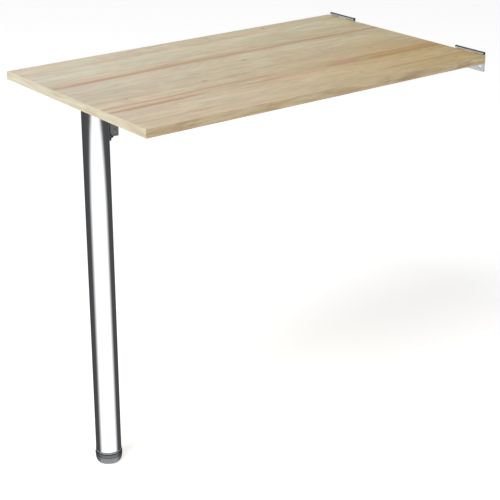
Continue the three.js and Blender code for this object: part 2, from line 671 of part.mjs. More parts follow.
// Plug in the tube's lower end, with a flange below the rim and a threaded bore.
function footInsert() {
  const top = TUBE_LOW_Z + INSERT_LENGTH;
  const rim = TUBE_LOW_Z - REST_GAP;
  const low = rim - INSERT_FLANGE;
  const bore = STUD_RADIUS + STUD_GAP;
  const body = TUBE_BORE - INSERT_GAP;
  return turned([
    [bore, low],
    [INSERT_RADIUS - INSERT_BEVEL, low],
    [INSERT_RADIUS, low + INSERT_BEVEL],
    [INSERT_RADIUS, rim],
    [body, rim],
    [body, top - INSERT_LEAD],
    [body - INSERT_LEAD, top],
    [bore, top],
    [bore, low],
  ], LEG_X, 0);
}

// Threaded stud moulded into the disc, so the two turn as one piece but stay separate parts.
function footStud() {
  const low = BASE_TOP_Z + STUD_FOOT_GAP;
  const high = low + STUD_LENGTH;
  const radius = STUD_RADIUS - STUD_GAP;
  return turned([
    [0, low],
    [radius, low],
    [radius, high - STUD_CHAMFER],
    [radius - STUD_CHAMFER, high],
    [0, high],
  ], LEG_X, 0, 20);
}

function footDisc() {
  const low = BASE_TOP_Z + DISC_BASE_GAP;
  return turned([
    [STUD_RADIUS, low],
    [FOOT_RADIUS - DISC_LOW_BEVEL, low],
    [FOOT_RADIUS, low + DISC_LOW_BEVEL],
    [FOOT_RADIUS, DISC_TOP_Z - DISC_TOP_BEVEL],
    [FOOT_RADIUS - DISC_TOP_BEVEL, DISC_TOP_Z],
    [STUD_RADIUS, DISC_TOP_Z],
    [STUD_RADIUS, low],
  ], LEG_X, 0);
}

// Rounded base that stands on the floor.
function footBase() {
  const side = FOOT_RADIUS - BASE_SHRINK;
  const roundHeight = BASE_TOP_Z - BASE_RIM - FLOOR_Z;
  const profile = [[0, FLOOR_Z]];
  for (let step = 0; step <= BASE_ARC_STEPS; step += 1) {
    const angle = (Math.PI / 2) * (step / BASE_ARC_STEPS);
    profile.push([
      BASE_FLAT + (side - BASE_FLAT) * Math.sin(angle),
      FLOOR_Z + roundHeight * (1 - Math.cos(angle)),
    ]);
  }
  profile.push([side, BASE_TOP_Z], [0, BASE_TOP_Z]);
  return turned(profile, LEG_X, 0);
}

piece('foot_insert', footInsert(), greyPlastic());
piece('foot_stud', footStud(), zincSteel());
piece('foot_disc', footDisc(), darkPlastic());
piece('foot_base', footBase(), greyPlastic());

export default group;
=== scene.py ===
# Wall-mounted folding table with an oak decor leaf, strap hinges and a folding chrome leg.
import functools
import json
import math

import bmesh
import bpy
from mathutils import Matrix, Vector


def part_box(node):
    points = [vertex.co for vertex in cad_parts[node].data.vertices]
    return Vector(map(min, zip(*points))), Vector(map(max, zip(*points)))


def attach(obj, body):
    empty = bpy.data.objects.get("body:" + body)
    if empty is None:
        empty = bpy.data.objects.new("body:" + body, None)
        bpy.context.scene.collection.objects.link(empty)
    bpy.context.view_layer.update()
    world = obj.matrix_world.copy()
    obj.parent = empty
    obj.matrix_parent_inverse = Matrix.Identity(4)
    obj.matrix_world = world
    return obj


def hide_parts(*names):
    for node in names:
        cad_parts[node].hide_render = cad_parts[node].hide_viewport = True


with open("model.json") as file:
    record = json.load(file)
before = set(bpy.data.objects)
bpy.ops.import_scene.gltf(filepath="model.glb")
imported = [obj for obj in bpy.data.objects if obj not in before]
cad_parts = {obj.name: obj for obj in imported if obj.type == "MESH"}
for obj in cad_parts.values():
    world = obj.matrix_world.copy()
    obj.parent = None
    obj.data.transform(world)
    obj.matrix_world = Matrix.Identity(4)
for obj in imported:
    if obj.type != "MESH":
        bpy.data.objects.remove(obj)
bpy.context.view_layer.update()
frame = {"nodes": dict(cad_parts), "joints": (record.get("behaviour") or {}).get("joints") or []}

MM = 0.001
GAP = 0.1 * MM  # between pieces that touch or turn on each other

# ---- places read from the frame ----

joints = {joint["name"]: joint for joint in frame["joints"]}


def joint_place(name):
    return Vector(joints[name]["pos_m"])


board_low, board_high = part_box("tabletop_board")
near_low, near_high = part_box("edge_band_near")
far_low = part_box("edge_band_far")[0]
tube_low, tube_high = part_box("leg_tube")
bracket_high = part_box("leg_bracket")[1]
LEAF_LOW = Vector((near_low.x, far_low.y, board_low.z))
LEAF_HIGH = Vector((near_high.x, near_high.y, board_high.z))
LEAF_SIZE = LEAF_HIGH - LEAF_LOW
FLOOR_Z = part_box("foot_base")[0].z
LEG_X = (tube_low.x + tube_high.x) / 2
TUBE_RADIUS = (tube_high.x - tube_low.x) / 2
HINGE_AXIS = joint_place("leaf_fold")
PIVOT = joint_place("leg_fold")
LEVER_PIVOT = joint_place("lever_press")
HOOK_PIVOT = joint_place("hook_swing")

# ---- shapes: lists of vertices and faces ----


class Shape:
    """A mesh in the making. Adding two of them puts both in one."""

    def __init__(self, verts, faces):
        self.verts = [Vector(v) for v in verts]
        self.faces = [tuple(f) for f in faces]

    def __add__(self, other):
        start = len(self.verts)
        faces = self.faces + [tuple(i + start for i in f) for f in other.faces]
        return Shape(self.verts + other.verts, faces)

    def moved(self, matrix):
        return Shape([matrix @ v for v in self.verts], self.faces)

    def at(self, *place):
        return self.moved(Matrix.Translation(Vector(place)))


# Each of these turns a shape drawn in X and Y, with its height along Z, to face another way.
SIDE_VIEW = Matrix(((1, 0, 0, 0), (0, 0, -1, 0), (0, 1, 0, 0), (0, 0, 0, 1)))  # height to -Y
WALL_VIEW = Matrix(((0, 0, 1, 0), (1, 0, 0, 0), (0, 1, 0, 0), (0, 0, 0, 1)))  # height to +X
ALONG_Y = Matrix.Rotation(-math.pi / 2, 4, "X")
ALONG_X = Matrix.Rotation(math.pi / 2, 4, "Y")
AGAINST_X = Matrix.Rotation(math.pi, 4, "Z") @ ALONG_X


def arc(centre, radius, start, end, steps=12):
    """Points on an arc, from one angle to the other, in degrees."""
    angles = [math.radians(start + (end - start) * i / steps) for i in range(steps + 1)]
    return [(centre[0] + radius * math.cos(a), centre[1] + radius * math.sin(a)) for a in angles]


def circle(centre, radius, steps=32):
    return arc(centre, radius, 0, 360, steps)[:-1]


def bezier(p0, p1, p2, p3, steps=12):
    points = []
    for i in range(steps + 1):
        t = i / steps
        weights = ((1 - t) ** 3, 3 * t * (1 - t) ** 2, 3 * t * t * (1 - t), t ** 3)
        points.append(tuple(
            sum(w * p[k] for w, p in zip(weights, (p0, p1, p2, p3))) for k in (0, 1)))
    return points


def rounded(points, radius, steps=4):
    """The closed outline with each corner replaced by a small curve."""
    result = []
    for i, point in enumerate(points):
        here = Vector(point)
        before = Vector(points[i - 1]) - here
        after = Vector(points[(i + 1) % len(points)]) - here
        reach = min(radius, 0.45 * before.length, 0.45 * after.length)
        start = here + before.normalized() * reach
        end = here + after.normalized() * reach
        for k in range(steps + 1):
            t = k / steps
            result.append(tuple((1 - t) ** 2 * start + 2 * t * (1 - t) * here + t * t * end))
    return result


def dome(radius, height, steps=8):
    """Points of a quarter ellipse, from its rim to just beside its axis."""
    angles = [math.radians(90 * i / steps) for i in range(steps)]
    return [(radius * math.cos(a), height * math.sin(a)) for a in angles]


def without_repeats(points):
    """The closed outline without points that repeat the one before."""
    kept = []
    for point in points:
        if not kept or (Vector(point) - Vector(kept[-1])).length > 1e-7:
            kept.append(point)
    while (Vector(kept[0]) - Vector(kept[-1])).length < 1e-7:
        kept.pop()
    return kept


def placed(name, data):
    """A new object in the scene, with this data."""
    thing = bpy.data.objects.new(name, data)
    bpy.context.scene.collection.objects.link(thing)
    return thing


def plate(outline, thickness, holes=(), bevel=0.25 * MM):
    """A flat plate with rounded edges and holes, from height 0 to its thickness."""
    data = bpy.data.curves.new("outline", "CURVE")
    data.dimensions = "2D"
    data.fill_mode = "BOTH"
    data.extrude = thickness / 2 - bevel
    data.bevel_depth = bevel
    data.bevel_resolution = 2
    data.offset = -bevel
    for loop in (outline, *holes):
        points = without_repeats(loop)
        spline = data.splines.new("POLY")
        spline.points.add(len(points) - 1)
        for target, point in zip(spline.points, points):
            target.co = (*point, 0, 1)
        spline.use_cyclic_u = True
    holder = placed("outline", data)
    bpy.context.view_layer.update()
    mesh = bpy.data.meshes.new_from_object(
        holder.evaluated_get(bpy.context.evaluated_depsgraph_get()))
    shape = Shape([v.co for v in mesh.vertices], [p.vertices for p in mesh.polygons])
    bpy.data.objects.remove(holder)
    bpy.data.curves.remove(data)
    bpy.data.meshes.remove(mesh)
    return shape.at(0, 0, thickness / 2)


def turned(profile, steps=96, radius_at=None):
    """A solid turned about Z from [radius, height] points. Ends off the axis join each other."""
    verts, rings = [], []
    for radius, height in profile:
        count = 1 if radius < 1e-7 else steps
        rings.append(range(len(verts), len(verts) + count))
        for i in range(count):
            angle = 2 * math.pi * i / steps
            here = radius if radius_at is None else radius_at(radius, height, angle)
            verts.append((here * math.cos(angle), here * math.sin(angle), height))
    pairs = list(zip(rings, rings[1:]))
    if len(rings[0]) > 1 and len(rings[-1]) > 1:
        pairs.append((rings[-1], rings[0]))
    faces = []
    for low, high in pairs:
        for i in range(steps):
            j = (i + 1) % steps
            corners = [low[i % len(low)], low[j % len(low)], high[j % len(high)], high[i % len(high)]]
            face = list(dict.fromkeys(corners))
            if len(face) > 2:
                faces.append(face)
    return Shape(verts, faces)


def ring(inner, outer, low, high, edge=0.2 * MM, steps=96):
    return turned(rounded([(inner, low), (outer, low), (outer, high), (inner, high)], edge), steps)


def disc(radius, low, high, edge=0.2 * MM, steps=64):
    corner = rounded([(0, low), (radius, low), (radius, high), (0, high)], edge)
    outer = [point for point in corner if point[0] > 0.5 * radius]
    return turned([(0, low), *outer, (0, high)], steps)


def wire(points, radius, sides=16, closed=False):
    """A round wire through the points, swept without twist."""
    path = [Vector(p) for p in points]
    count = len(path)
    tangents = []
    for i in range(count):
        ahead = path[(i + 1) % count] if closed or i < count - 1 else path[i]
        behind = path[i - 1] if closed or i > 0 else path[i]
        tangents.append((ahead - behind).normalized())
    side = tangents[0].orthogonal().normalized()
    verts = []
    for point, tangent in zip(path, tangents):
        side = (side - tangent * side.dot(tangent)).normalized()
        other = tangent.cross(side)
        for k in range(sides):
            angle = 2 * math.pi * k / sides
            verts.append(point + radius * (side * math.cos(angle) + other * math.sin(angle)))
    faces = []
    for i in range(count if closed else count - 1):
        low, high = i * sides, ((i + 1) % count) * sides
        for k in range(sides):
            n = (k + 1) % sides
            faces.append((low + k, low + n, high + n, high + k))
    if not closed:
        faces.append(range(sides - 1, -1, -1))
        faces.append(range((count - 1) * sides, count * sides))
    return Shape(verts, faces)


def box_mesh(low, high):
    """A box between two corners, to be edited and then handed to shape_of."""
    mesh = bmesh.new()
    bmesh.ops.create_cube(mesh, size=1)
    for v in mesh.verts:
        v.co = Vector(c * s for c, s in zip(v.co, high - low)) + (low + high) / 2
    return mesh


def shape_of(mesh):
    mesh.verts.index_update()
    shape = Shape([v.co.copy() for v in mesh.verts], [[v.index for v in f.verts] for f in mesh.faces])
    mesh.free()
    return shape


def block(low, high, edge):
    """A box with its edges rounded."""
    mesh = box_mesh(low, high)
    bmesh.ops.bevel(mesh, geom=mesh.edges[:], offset=edge, segments=3, profile=0.5,
                    affect="EDGES", clamp_overlap=True)
    return shape_of(mesh)


def make(node, shape, body, material, crease=32):
    """A finished piece that stands for a CAD node."""
    mesh = bpy.data.meshes.new(node + "_shape")
    mesh.from_pydata([tuple(v) for v in shape.verts], [], shape.faces)
    edit = bmesh.new()
    edit.from_mesh(mesh)
    bmesh.ops.remove_doubles(edit, verts=edit.verts[:], dist=1e-6)
    bmesh.ops.recalc_face_normals(edit, faces=edit.faces[:])
    edit.to_mesh(mesh)
    edit.free()
    mesh.shade_smooth()
    mesh.set_sharp_from_angle(angle=math.radians(crease))
    mesh.materials.append(material)
    piece = placed(node + "_shape", mesh)
    # Flat faces keep their own normals, and only the small rounded edges blend.
    normals = piece.modifiers.new("normals", "WEIGHTED_NORMAL")
    normals.keep_sharp = True
    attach(piece, body)
    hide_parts(node)
    return piece


def make_in_box(node, shape_for, body, material):
    """A finished piece whose shape is worked out from the box of its CAD node."""
    return make(node, shape_for(*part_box(node)), body, material)


# ---- materials ----


def linear(*srgb):
    """A colour given as 0 to 255 screen values, as linear light."""
    channels = [c / 255 for c in srgb]
    return (*[c / 12.92 if c < 0.04045 else ((c + 0.055) / 1.055) ** 2.4 for c in channels], 1)


class Field:
    """A number that varies over the surface, with arithmetic that adds shader nodes."""

    def __init__(self, paint, socket):
        self.paint = paint
        self.socket = socket

    def __add__(self, other):
        return self.paint.math("ADD", self, other)

    def __radd__(self, other):
        return self.paint.math("ADD", other, self)

    def __sub__(self, other):
        return self.paint.math("SUBTRACT", self, other)

    def __rsub__(self, other):
        return self.paint.math("SUBTRACT", other, self)

    def __mul__(self, other):
        return self.paint.math("MULTIPLY", self, other)

    def __rmul__(self, other):
        return self.paint.math("MULTIPLY", other, self)

    def __truediv__(self, other):
        return self.paint.math("DIVIDE", self, other)

    def __abs__(self):
        return self.paint.math("ABSOLUTE", self)

    def root(self):
        return self.paint.math("SQRT", self)

    def at_most(self, other):
        return self.paint.math("MINIMUM", self, other)

    def at_least(self, other):
        return self.paint.math("MAXIMUM", self, other)

    def rises(self, low, high):
        """0 below low, 1 above high and smooth between them."""
        node = self.paint.node("ShaderNodeMapRange")
        node.interpolation_type = "SMOOTHSTEP"
        self.paint.link(self, node.inputs["Value"])
        node.inputs["From Min"].default_value = low
        node.inputs["From Max"].default_value = high
        return Field(self.paint, node.outputs["Result"])


class Paint:
    """One material, made from nodes."""

    def __init__(self, name, metallic=0.0, specular=0.5, coat=0.0):
        self.material = bpy.data.materials.new(name)
        self.material.use_nodes = True
        self.tree = self.material.node_tree
        self.shader = self.tree.nodes["Principled BSDF"]
        self.shader.inputs["Metallic"].default_value = metallic
        self.shader.inputs["Specular IOR Level"].default_value = specular
        self.shader.inputs["Coat Weight"].default_value = coat
        self.place = self.node("ShaderNodeTexCoord").outputs["Object"]

    def node(self, kind):
        return self.tree.nodes.new(kind)

    def link(self, value, socket):
        if isinstance(value, Field):
            self.tree.links.new(value.socket, socket)
        elif isinstance(value, bpy.types.NodeSocket):
            self.tree.links.new(value, socket)
        else:
            socket.default_value = value

    def math(self, operation, first, second=None):
        node = self.node("ShaderNodeMath")
        node.operation = operation
        self.link(first, node.inputs[0])
        if second is not None:
            self.link(second, node.inputs[1])
        return Field(self, node.outputs[0])

    def parts(self, vector):
        node = self.node("ShaderNodeSeparateXYZ")
        self.link(vector, node.inputs[0])
        return [Field(self, node.outputs[i]) for i in range(3)]

    def axes(self):
        """The place on the object along X, Y and Z, in metres."""
        return self.parts(self.place)

    def facing(self, axis):
        """How squarely the surface faces along an axis of its own object, from 0 to 1."""
        return abs(self.parts(self.node("ShaderNodeTexCoord").outputs["Normal"])[axis])

    def noise(self, x, y, z, detail=3.0, roughness=0.55, distortion=0.0):
        """Noise from -1 to 1, one blob per unit of x, y and z."""
        where = self.node("ShaderNodeCombineXYZ")
        for value, socket in zip((x, y, z), where.inputs):
            self.link(value, socket)
        node = self.node("ShaderNodeTexNoise")
        node.inputs["Scale"].default_value = 1
        node.inputs["Detail"].default_value = detail
        node.inputs["Roughness"].default_value = roughness
        node.inputs["Distortion"].default_value = distortion
        self.link(where.outputs[0], node.inputs["Vector"])
        return Field(self, node.outputs["Fac"]) * 2 - 1

    def even_noise(self, place, density, detail):
        """Noise with the same number of blobs a metre in every direction."""
        return self.noise(*[axis * density for axis in place], detail=detail)

    def curve(self, field, points):
        """Straight steps between (input, output) points, flat beyond the ends."""
        total = points[0][1]
        for (x0, y0), (x1, y1) in zip(points, points[1:]):
            node = self.node("ShaderNodeMapRange")
            self.link(field, node.inputs["Value"])
            node.inputs["From Min"].default_value = x0
            node.inputs["From Max"].default_value = x1
            node.inputs["To Max"].default_value = y1 - y0
            total = total + Field(self, node.outputs["Result"])
        return total

    def ramp(self, field, stops):
        node = self.node("ShaderNodeValToRGB")
        elements = node.color_ramp.elements
        while len(elements) < len(stops):
            elements.new(0.5)
        for element, (position, colour) in zip(elements, stops):
            element.position = position
            element.color = linear(*colour)
        self.link(field, node.inputs[0])
        return node.outputs["Color"]

    def mix(self, first, second, factor, blend="MIX"):
        node = self.node("ShaderNodeMix")
        node.data_type = "RGBA"
        node.blend_type = blend
        self.link(factor, node.inputs[0])
        self.link(first, node.inputs[6])
        self.link(second, node.inputs[7])
        return node.outputs[2]

    def scaled(self, colour, factor):
        """The colour times a grey factor that may pass 1."""
        node = self.node("ShaderNodeVectorMath")
        node.operation = "SCALE"
        self.link(colour[:3] if isinstance(colour, tuple) else colour, node.inputs[0])
        self.link(factor, node.inputs["Scale"])
        return node.outputs[0]

    def finish(self, colour, roughness, height, depth):
        """The material, with its colour, roughness and relief."""
        self.link(colour, self.shader.inputs["Base Color"])
        self.link(roughness, self.shader.inputs["Roughness"])
        bump = self.node("ShaderNodeBump")
        bump.inputs["Distance"].default_value = depth
        self.link(height, bump.inputs["Height"])
        self.link(bump.outputs["Normal"], self.shader.inputs["Normal"])
        return self.material


# Tones of the leaf's decor across its width, from the far side (0) to the near side (1).
PALE_TONES = [
    (0.00, (215, 205, 185)), (0.11, (210, 195, 170)), (0.13, (210, 205, 185)), (0.20, (210, 205, 185)),
    (0.32, (200, 185, 160)), (0.40, (205, 195, 175)), (0.62, (195, 180, 155)), (0.66, (205, 190, 165)),
    (0.73, (200, 180, 155)), (0.87, (210, 195, 170)), (0.92, (200, 185, 155)), (1.00, (205, 185, 160)),
]
GOLDEN_TONES = [
    (0.00, (195, 185, 165)), (0.10, (190, 180, 160)), (0.12, (200, 195, 180)), (0.31, (185, 170, 140)),
    (0.36, (195, 185, 160)), (0.50, (195, 180, 150)), (0.61, (185, 165, 130)), (0.66, (190, 170, 130)),
    (0.75, (175, 150, 100)), (0.78, (190, 165, 115)), (0.84, (195, 175, 135)), (1.00, (190, 170, 125)),
]
# How the decor's colours deepen from the free end to the wall end.
PALE_TINT = (0.94, 0.905, 0.85, 1)
GOLDEN_TINT = (0.97, 0.88, 0.62, 1)
# Darker lines in the decor: place across the width, first and last place along the leaf from
# its free end, half width, strength.
LINES = [
    (0.345, -0.1, 1.1, 0.016, 0.75), (0.338, 0.26, 0.62, 0.022, 0.6), (0.336, 0.60, 0.86, 0.014, 0.85),
    (0.705, -0.1, 0.52, 0.008, 0.7), (0.752, -0.1, 0.29, 0.012, 0.95), (0.757, 0.33, 0.50, 0.008, 0.8),
    (0.735, 0.60, 0.78, 0.018, 1.0), (0.705, 0.62, 1.1, 0.010, 0.9), (0.742, 0.72, 1.1, 0.017, 1.0),
    (0.618, 0.33, 0.49, 0.006, 0.6), (0.030, 0.30, 0.62, 0.005, 0.35), (0.105, -0.1, 0.7, 0.005, 0.25),
    (0.915, -0.1, 0.24, 0.010, 0.3), (0.905, 0.68, 1.1, 0.012, 0.45), (0.470, 0.55, 0.95, 0.005, 0.3),
]
# Small knots: place along the leaf from its free end, place across it, size.
KNOTS = [
    (0.092, 0.628, 5.0 * MM), (0.316, 0.610, 6.5 * MM), (0.828, 0.612, 6.0 * MM), (0.655, 0.888, 5.0 * MM),
    (0.747, 0.052, 6.5 * MM), (0.565, 0.046, 5.0 * MM), (0.505, 0.452, 7.0 * MM), (0.937, 0.942, 5.0 * MM),
]


def strongest(fields):
    """At each place, the largest of the fields."""
    return functools.reduce(Field.at_least, fields)


def decor_lines(along, across):
    lines = []
    for place, first, last, width, strength in LINES:
        inside = (along - first).rises(0, 0.07) * (last - along).rises(0, 0.07)
        lines.append((1.3 * width - abs(across - place)).rises(0, 0.9 * width) * inside * strength)
    return strongest(lines)


def decor_knots(along, across):
    """Ovals that are dark in the middle, longer along the leaf than across it."""
    knots = []
    for place_along, place_across, size in KNOTS:
        reach_x = (along - place_along) * (LEAF_SIZE.x / (1.6 * size))
        reach_y = (across - place_across) * (LEAF_SIZE.y / size)
        knots.append(1 - (reach_x * reach_x + reach_y * reach_y).root().rises(0.2, 1.0))
    return strongest(knots)


def oak_face():
    """Decor of the leaf's two faces: grain along X, a few boards' tones side by side."""
    paint = Paint("oak_face")
    x, y, z = paint.axes()
    under = (LEAF_LOW.z + LEAF_SIZE.z / 2 - z).rises(-1 * MM, 1 * MM)
    along = (LEAF_HIGH.x - x) / LEAF_SIZE.x
    straight = (y - LEAF_LOW.y) / LEAF_SIZE.y
    mirrored = straight + under * (1 - 2 * straight)
    wander = paint.noise(along * 1.7, straight * 1.3, under * 7, detail=1) * 0.012
    across = mirrored + wander + (along * 0.9).rises(0.05, 0.4) * 0.014 - 0.004
    pale = paint.ramp(across, PALE_TONES)
    golden = paint.ramp(across, GOLDEN_TONES)
    patches = paint.noise(along * 2.2, across * 11, 3.1, detail=2)
    colour = paint.mix(pale, golden, (along + patches * 0.22).rises(0.12, 0.95))

    sway = paint.noise(along * 7, across * 12, 15.3, detail=2) * 0.010
    grain = across + sway
    streaks = paint.noise(along * 5, grain * 44, 1.7 + under * 3, detail=5, roughness=0.7)
    fine = paint.noise(along * 16, grain * 330, 5.2, detail=2)
    clouds = paint.noise(along * 3.2, across * 6, 8.4, detail=3)
    flames = paint.noise(along * 8, grain * 20, 2.4, detail=3, distortion=1.5)
    rings = paint.math("SINE", paint.noise(along * 2.4, grain * 5, 17.6, detail=1) * 60)
    figure = paint.noise(along * 3, across * 7, 27.1, detail=2).rises(0.0, 0.35)
    pores = paint.noise(along * 26, grain * 80, 33.3, detail=2).rises(0.05, 0.4)
    shade = 1.02 + streaks * 0.34 + fine * 0.08 + clouds * 0.09 + flames * 0.24 - pores * 0.12
    shade = shade + rings * figure * 0.06
    colour = paint.scaled(colour, shade)
    colour = paint.mix(colour, paint.mix(PALE_TINT, GOLDEN_TINT, along), 1, "MULTIPLY")

    blush = paint.noise(along * 8, grain * 18, 12.5, detail=3, distortion=0.8).rises(0.08, 0.45)
    blush_tone = paint.mix(linear(208, 170, 142), linear(200, 160, 98), along.rises(0.6, 0.9))
    colour = paint.mix(colour, blush_tone, blush * 0.5)
    cool = paint.noise(along * 5.0, grain * 11, 21.5, detail=3, distortion=0.8).rises(0.05, 0.45)
    colour = paint.mix(colour, linear(206, 207, 178), cool * 0.45)

    broken = paint.noise(along * 7, grain * 40, 4.4, detail=3) * 0.9 + 1.05
    line_tone = paint.mix(linear(178, 130, 88), linear(172, 124, 36), along.rises(0.70, 0.80))
    lines = decor_lines(along, across) * broken * (1 - under * 0.4)
    colour = paint.mix(colour, line_tone, lines.at_most(0.95))
    colour = paint.mix(colour, linear(140, 108, 72), decor_knots(along, across) * 0.6)
    return paint.finish(colour, roughness=0.42 + streaks * 0.05 + fine * 0.03,
                        height=streaks * 0.6 + fine * 0.7, depth=0.04 * MM)


def oak_edge(name, length_axis, tones, contrast):
    """Decor of an edge band, with its grain along X (0) or Y (1)."""
    paint = Paint(name)
    place = paint.axes()
    along, across = place[length_axis], place[2]
    waves = paint.noise(along * 9, across * 60, 6.2, detail=3, distortion=0.8)
    streaks = paint.noise(along * 16 + across * 90, across * 260, 2.8, detail=3, roughness=0.6)
    pores = paint.noise(along * 60, across * 1500, 9.1, detail=1)
    colour = paint.ramp(waves * 0.8 + streaks * 0.4 + 0.5, tones)
    colour = paint.scaled(colour, 1 + streaks * contrast + pores * 0.5 * contrast)
    return paint.finish(colour, roughness=0.45 + streaks * 0.05, height=streaks + pores,
                        depth=0.03 * MM)


def metal(name, colour, roughness):
    """Plated steel: cloudy roughness, fine speckle and slightly uneven tone."""
    paint = Paint(name, metallic=1.0)
    place = paint.axes()
    clouds = paint.even_noise(place, 90, detail=3)
    speckle = paint.even_noise(place, 1800, detail=1)
    tone = paint.scaled(linear(*colour), 1 + clouds * 0.06 + speckle * 0.03)
    return paint.finish(tone, roughness=roughness + clouds * 0.05,
                        height=speckle * 0.5, depth=0.01 * MM)


def zinc_plate():
    """Zinc-plated sheet, clouded and matt, with painted light in its colour: a painted highlight above the
    leaf's top, a painted dark reflection on the top of the knuckles, which is also shinier, and painted
    shade along the straps and on faces that face along Y.
    """
    paint = Paint("zinc_plate")
    x, y, z = paint.axes()
    # Painted highlight: above the leaf's top the zinc turns near white.
    highlight_above_leaf = (z - LEAF_HIGH.z).rises(-2 * MM, 0)
    # Painted dark reflection: the top of the knuckles turns darker, and also more metallic and smoother.
    dark_reflection_on_knuckle = (z - LEAF_HIGH.z).rises(3.4 * MM, 4.2 * MM)
    # Painted shade: away from the wall, along the straps, the zinc is greyer.
    shade_on_strap = (x - LEAF_LOW.x).rises(0, 2 * MM)
    # Painted shade: faces that face along Y are dark.
    shade_on_side_faces = paint.facing(1).rises(0.7, 0.95)
    clouds = paint.even_noise((x, y, z), 90, detail=3)
    marks = paint.noise(x * 400, y * 60, z * 2200, detail=2)
    speckle = paint.even_noise((x, y, z), 1800, detail=1)
    # Over the zinc's own tone: painted highlight, painted dark reflection and painted shade.
    tone = paint.mix(linear(220, 225, 238), linear(248, 249, 252), highlight_above_leaf)
    tone = paint.mix(tone, linear(150, 157, 166), dark_reflection_on_knuckle)
    tone = paint.mix(tone, linear(176, 180, 186), shade_on_strap)
    tone = paint.mix(tone, linear(96, 99, 104), shade_on_side_faces)
    tone = paint.scaled(tone, 1 + clouds * 0.06 + speckle * 0.03)
    paint.link(0.12 + dark_reflection_on_knuckle * 0.88, paint.shader.inputs["Metallic"])
    return paint.finish(tone, roughness=0.36 - dark_reflection_on_knuckle * 0.1 + clouds * 0.05,
                        height=speckle * 0.5 + marks * 0.3, depth=0.01 * MM)


def lacquer(name, colour, roughness, depth=0.03 * MM, specular=0.5, coat=0.0, painted_light_split=None):
    """Paint or moulded plastic with a fine texture. Above a height it may have another colour, which paints
    light and shade on the one material.
    """
    paint = Paint(name, specular=specular, coat=coat)
    x, y, z = paint.axes()
    texture = paint.even_noise((x, y, z), 1100, detail=2)
    clouds = paint.even_noise((x, y, z), 55, detail=3)
    tone = linear(*colour)
    # A second colour above a height paints light and shade: shade below a lit part, or a highlight above a
    # darker one.
    if painted_light_split is not None:
        upper_colour, height = painted_light_split
        tone = paint.mix(tone, linear(*upper_colour), (z - height).rises(-0.5 * MM, 0.5 * MM))
    tone = paint.scaled(tone, 1 + clouds * 0.08 + texture * 0.04)
    return paint.finish(tone, roughness=roughness + clouds * 0.06 + texture * 0.04,
                        height=texture, depth=depth)


def chrome_plate():
    """Bright chrome with a faint haze and fine marks along the tube."""
    paint = Paint("chrome_plate", metallic=1.0)
    x, y, z = paint.axes()
    haze = paint.noise(x * 30, y * 30, z * 8, detail=4)
    drawn = paint.noise(x * 700, y * 700, z * 12, detail=2)
    tone = paint.scaled(linear(236, 238, 241), 1 + haze * 0.012)
    return paint.finish(tone, roughness=0.055 + haze * 0.02 + drawn * 0.01,
                        height=haze * 0.6 + drawn * 0.25, depth=0.006 * MM)


OAK_FACE = oak_face()
OAK_LONG_EDGE = oak_edge("oak_long_edge", 0, [
    (0.0, (150, 126, 94)), (0.35, (182, 160, 124)), (0.6, (196, 178, 142)), (1.0, (206, 190, 158))], 0.12)
OAK_END_EDGE = oak_edge("oak_end_edge", 1, [
    (0.0, (192, 174, 144)), (0.4, (209, 199, 173)), (0.7, (216, 210, 186)), (1.0, (222, 218, 198))], 0.07)
ZINC = zinc_plate()
BRIGHT_ZINC = metal("bright_zinc", (214, 216, 218), 0.22)
DARK_STEEL = metal("dark_steel", (70, 72, 75), 0.34)
# The bracket's light silver shows on its top sheet only; the dark grey below it, on the ears and the pivot
# pin, is painted shade.
BRACKET_SILVER_AND_SHADE = lacquer("bracket_silver_and_shade", (104, 105, 104), 0.34, depth=0.02 * MM, coat=0.5,
                          painted_light_split=((196, 198, 203), bracket_high.z - 3.5 * MM))
BLACK_LACQUER = lacquer("black_lacquer", (46, 47, 49), 0.38, coat=0.3)
BLACK_PLASTIC = lacquer("black_plastic", (30, 31, 33), 0.48, depth=0.05 * MM)
DARK_PLASTIC = lacquer("dark_plastic", (58, 60, 63), 0.2, depth=0.02 * MM, specular=1.0, coat=1.0)
# Above that height, on the insert's ring, the grey is lighter: a painted highlight over the base's grey.
GREY_PLASTIC = lacquer("grey_plastic", (92, 94, 97), 0.3, depth=0.02 * MM, specular=1.0, coat=1.0,
                       painted_light_split=((112, 114, 117), FLOOR_Z + 17 * MM))
CHROME = chrome_plate()

# ---- the leaf ----

EDGE_ROUND = 0.8 * MM


def leaf_pieces():
    low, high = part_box("tabletop_board")
    make("tabletop_board", block(low, high, 0.05 * MM), "leaf", OAK_FACE)
    bands = (
        ("edge_band_near", "oak_decor", OAK_LONG_EDGE),
        ("edge_band_far", "oak_decor", OAK_LONG_EDGE),
        ("edge_band_free_end", "oak_band", OAK_END_EDGE),
        ("edge_band_wall_end", "oak_band", OAK_END_EDGE),
    )
    for node, slot, material in bands:
        make_in_box(node, edge_band, "leaf", material)


def edge_band(low, high):
    """A band with its two outer long edges rounded."""
    thin = min(range(2), key=lambda axis: high[axis] - low[axis])
    outer = high[thin] > (LEAF_LOW[thin] + LEAF_HIGH[thin]) / 2
    mesh = box_mesh(low, high)
    face = high[thin] if outer else low[thin]
    edges = [e for e in mesh.edges
             if all(abs(v.co[thin] - face) < 1e-6 for v in e.verts)
             and abs(e.verts[0].co.z - e.verts[1].co.z) < 1e-6]
    bmesh.ops.bevel(mesh, geom=edges, offset=EDGE_ROUND, segments=4, profile=0.5, affect="EDGES")
    return shape_of(mesh)


# ---- screws ----

SCREW_HEAD = 3.8 * MM
SCREW_SHANK = 1.8 * MM
HOLE_MOUTH = 4.15 * MM
RECESS_REACH = 2.0 * MM
RECESS_HALF = 0.42 * MM


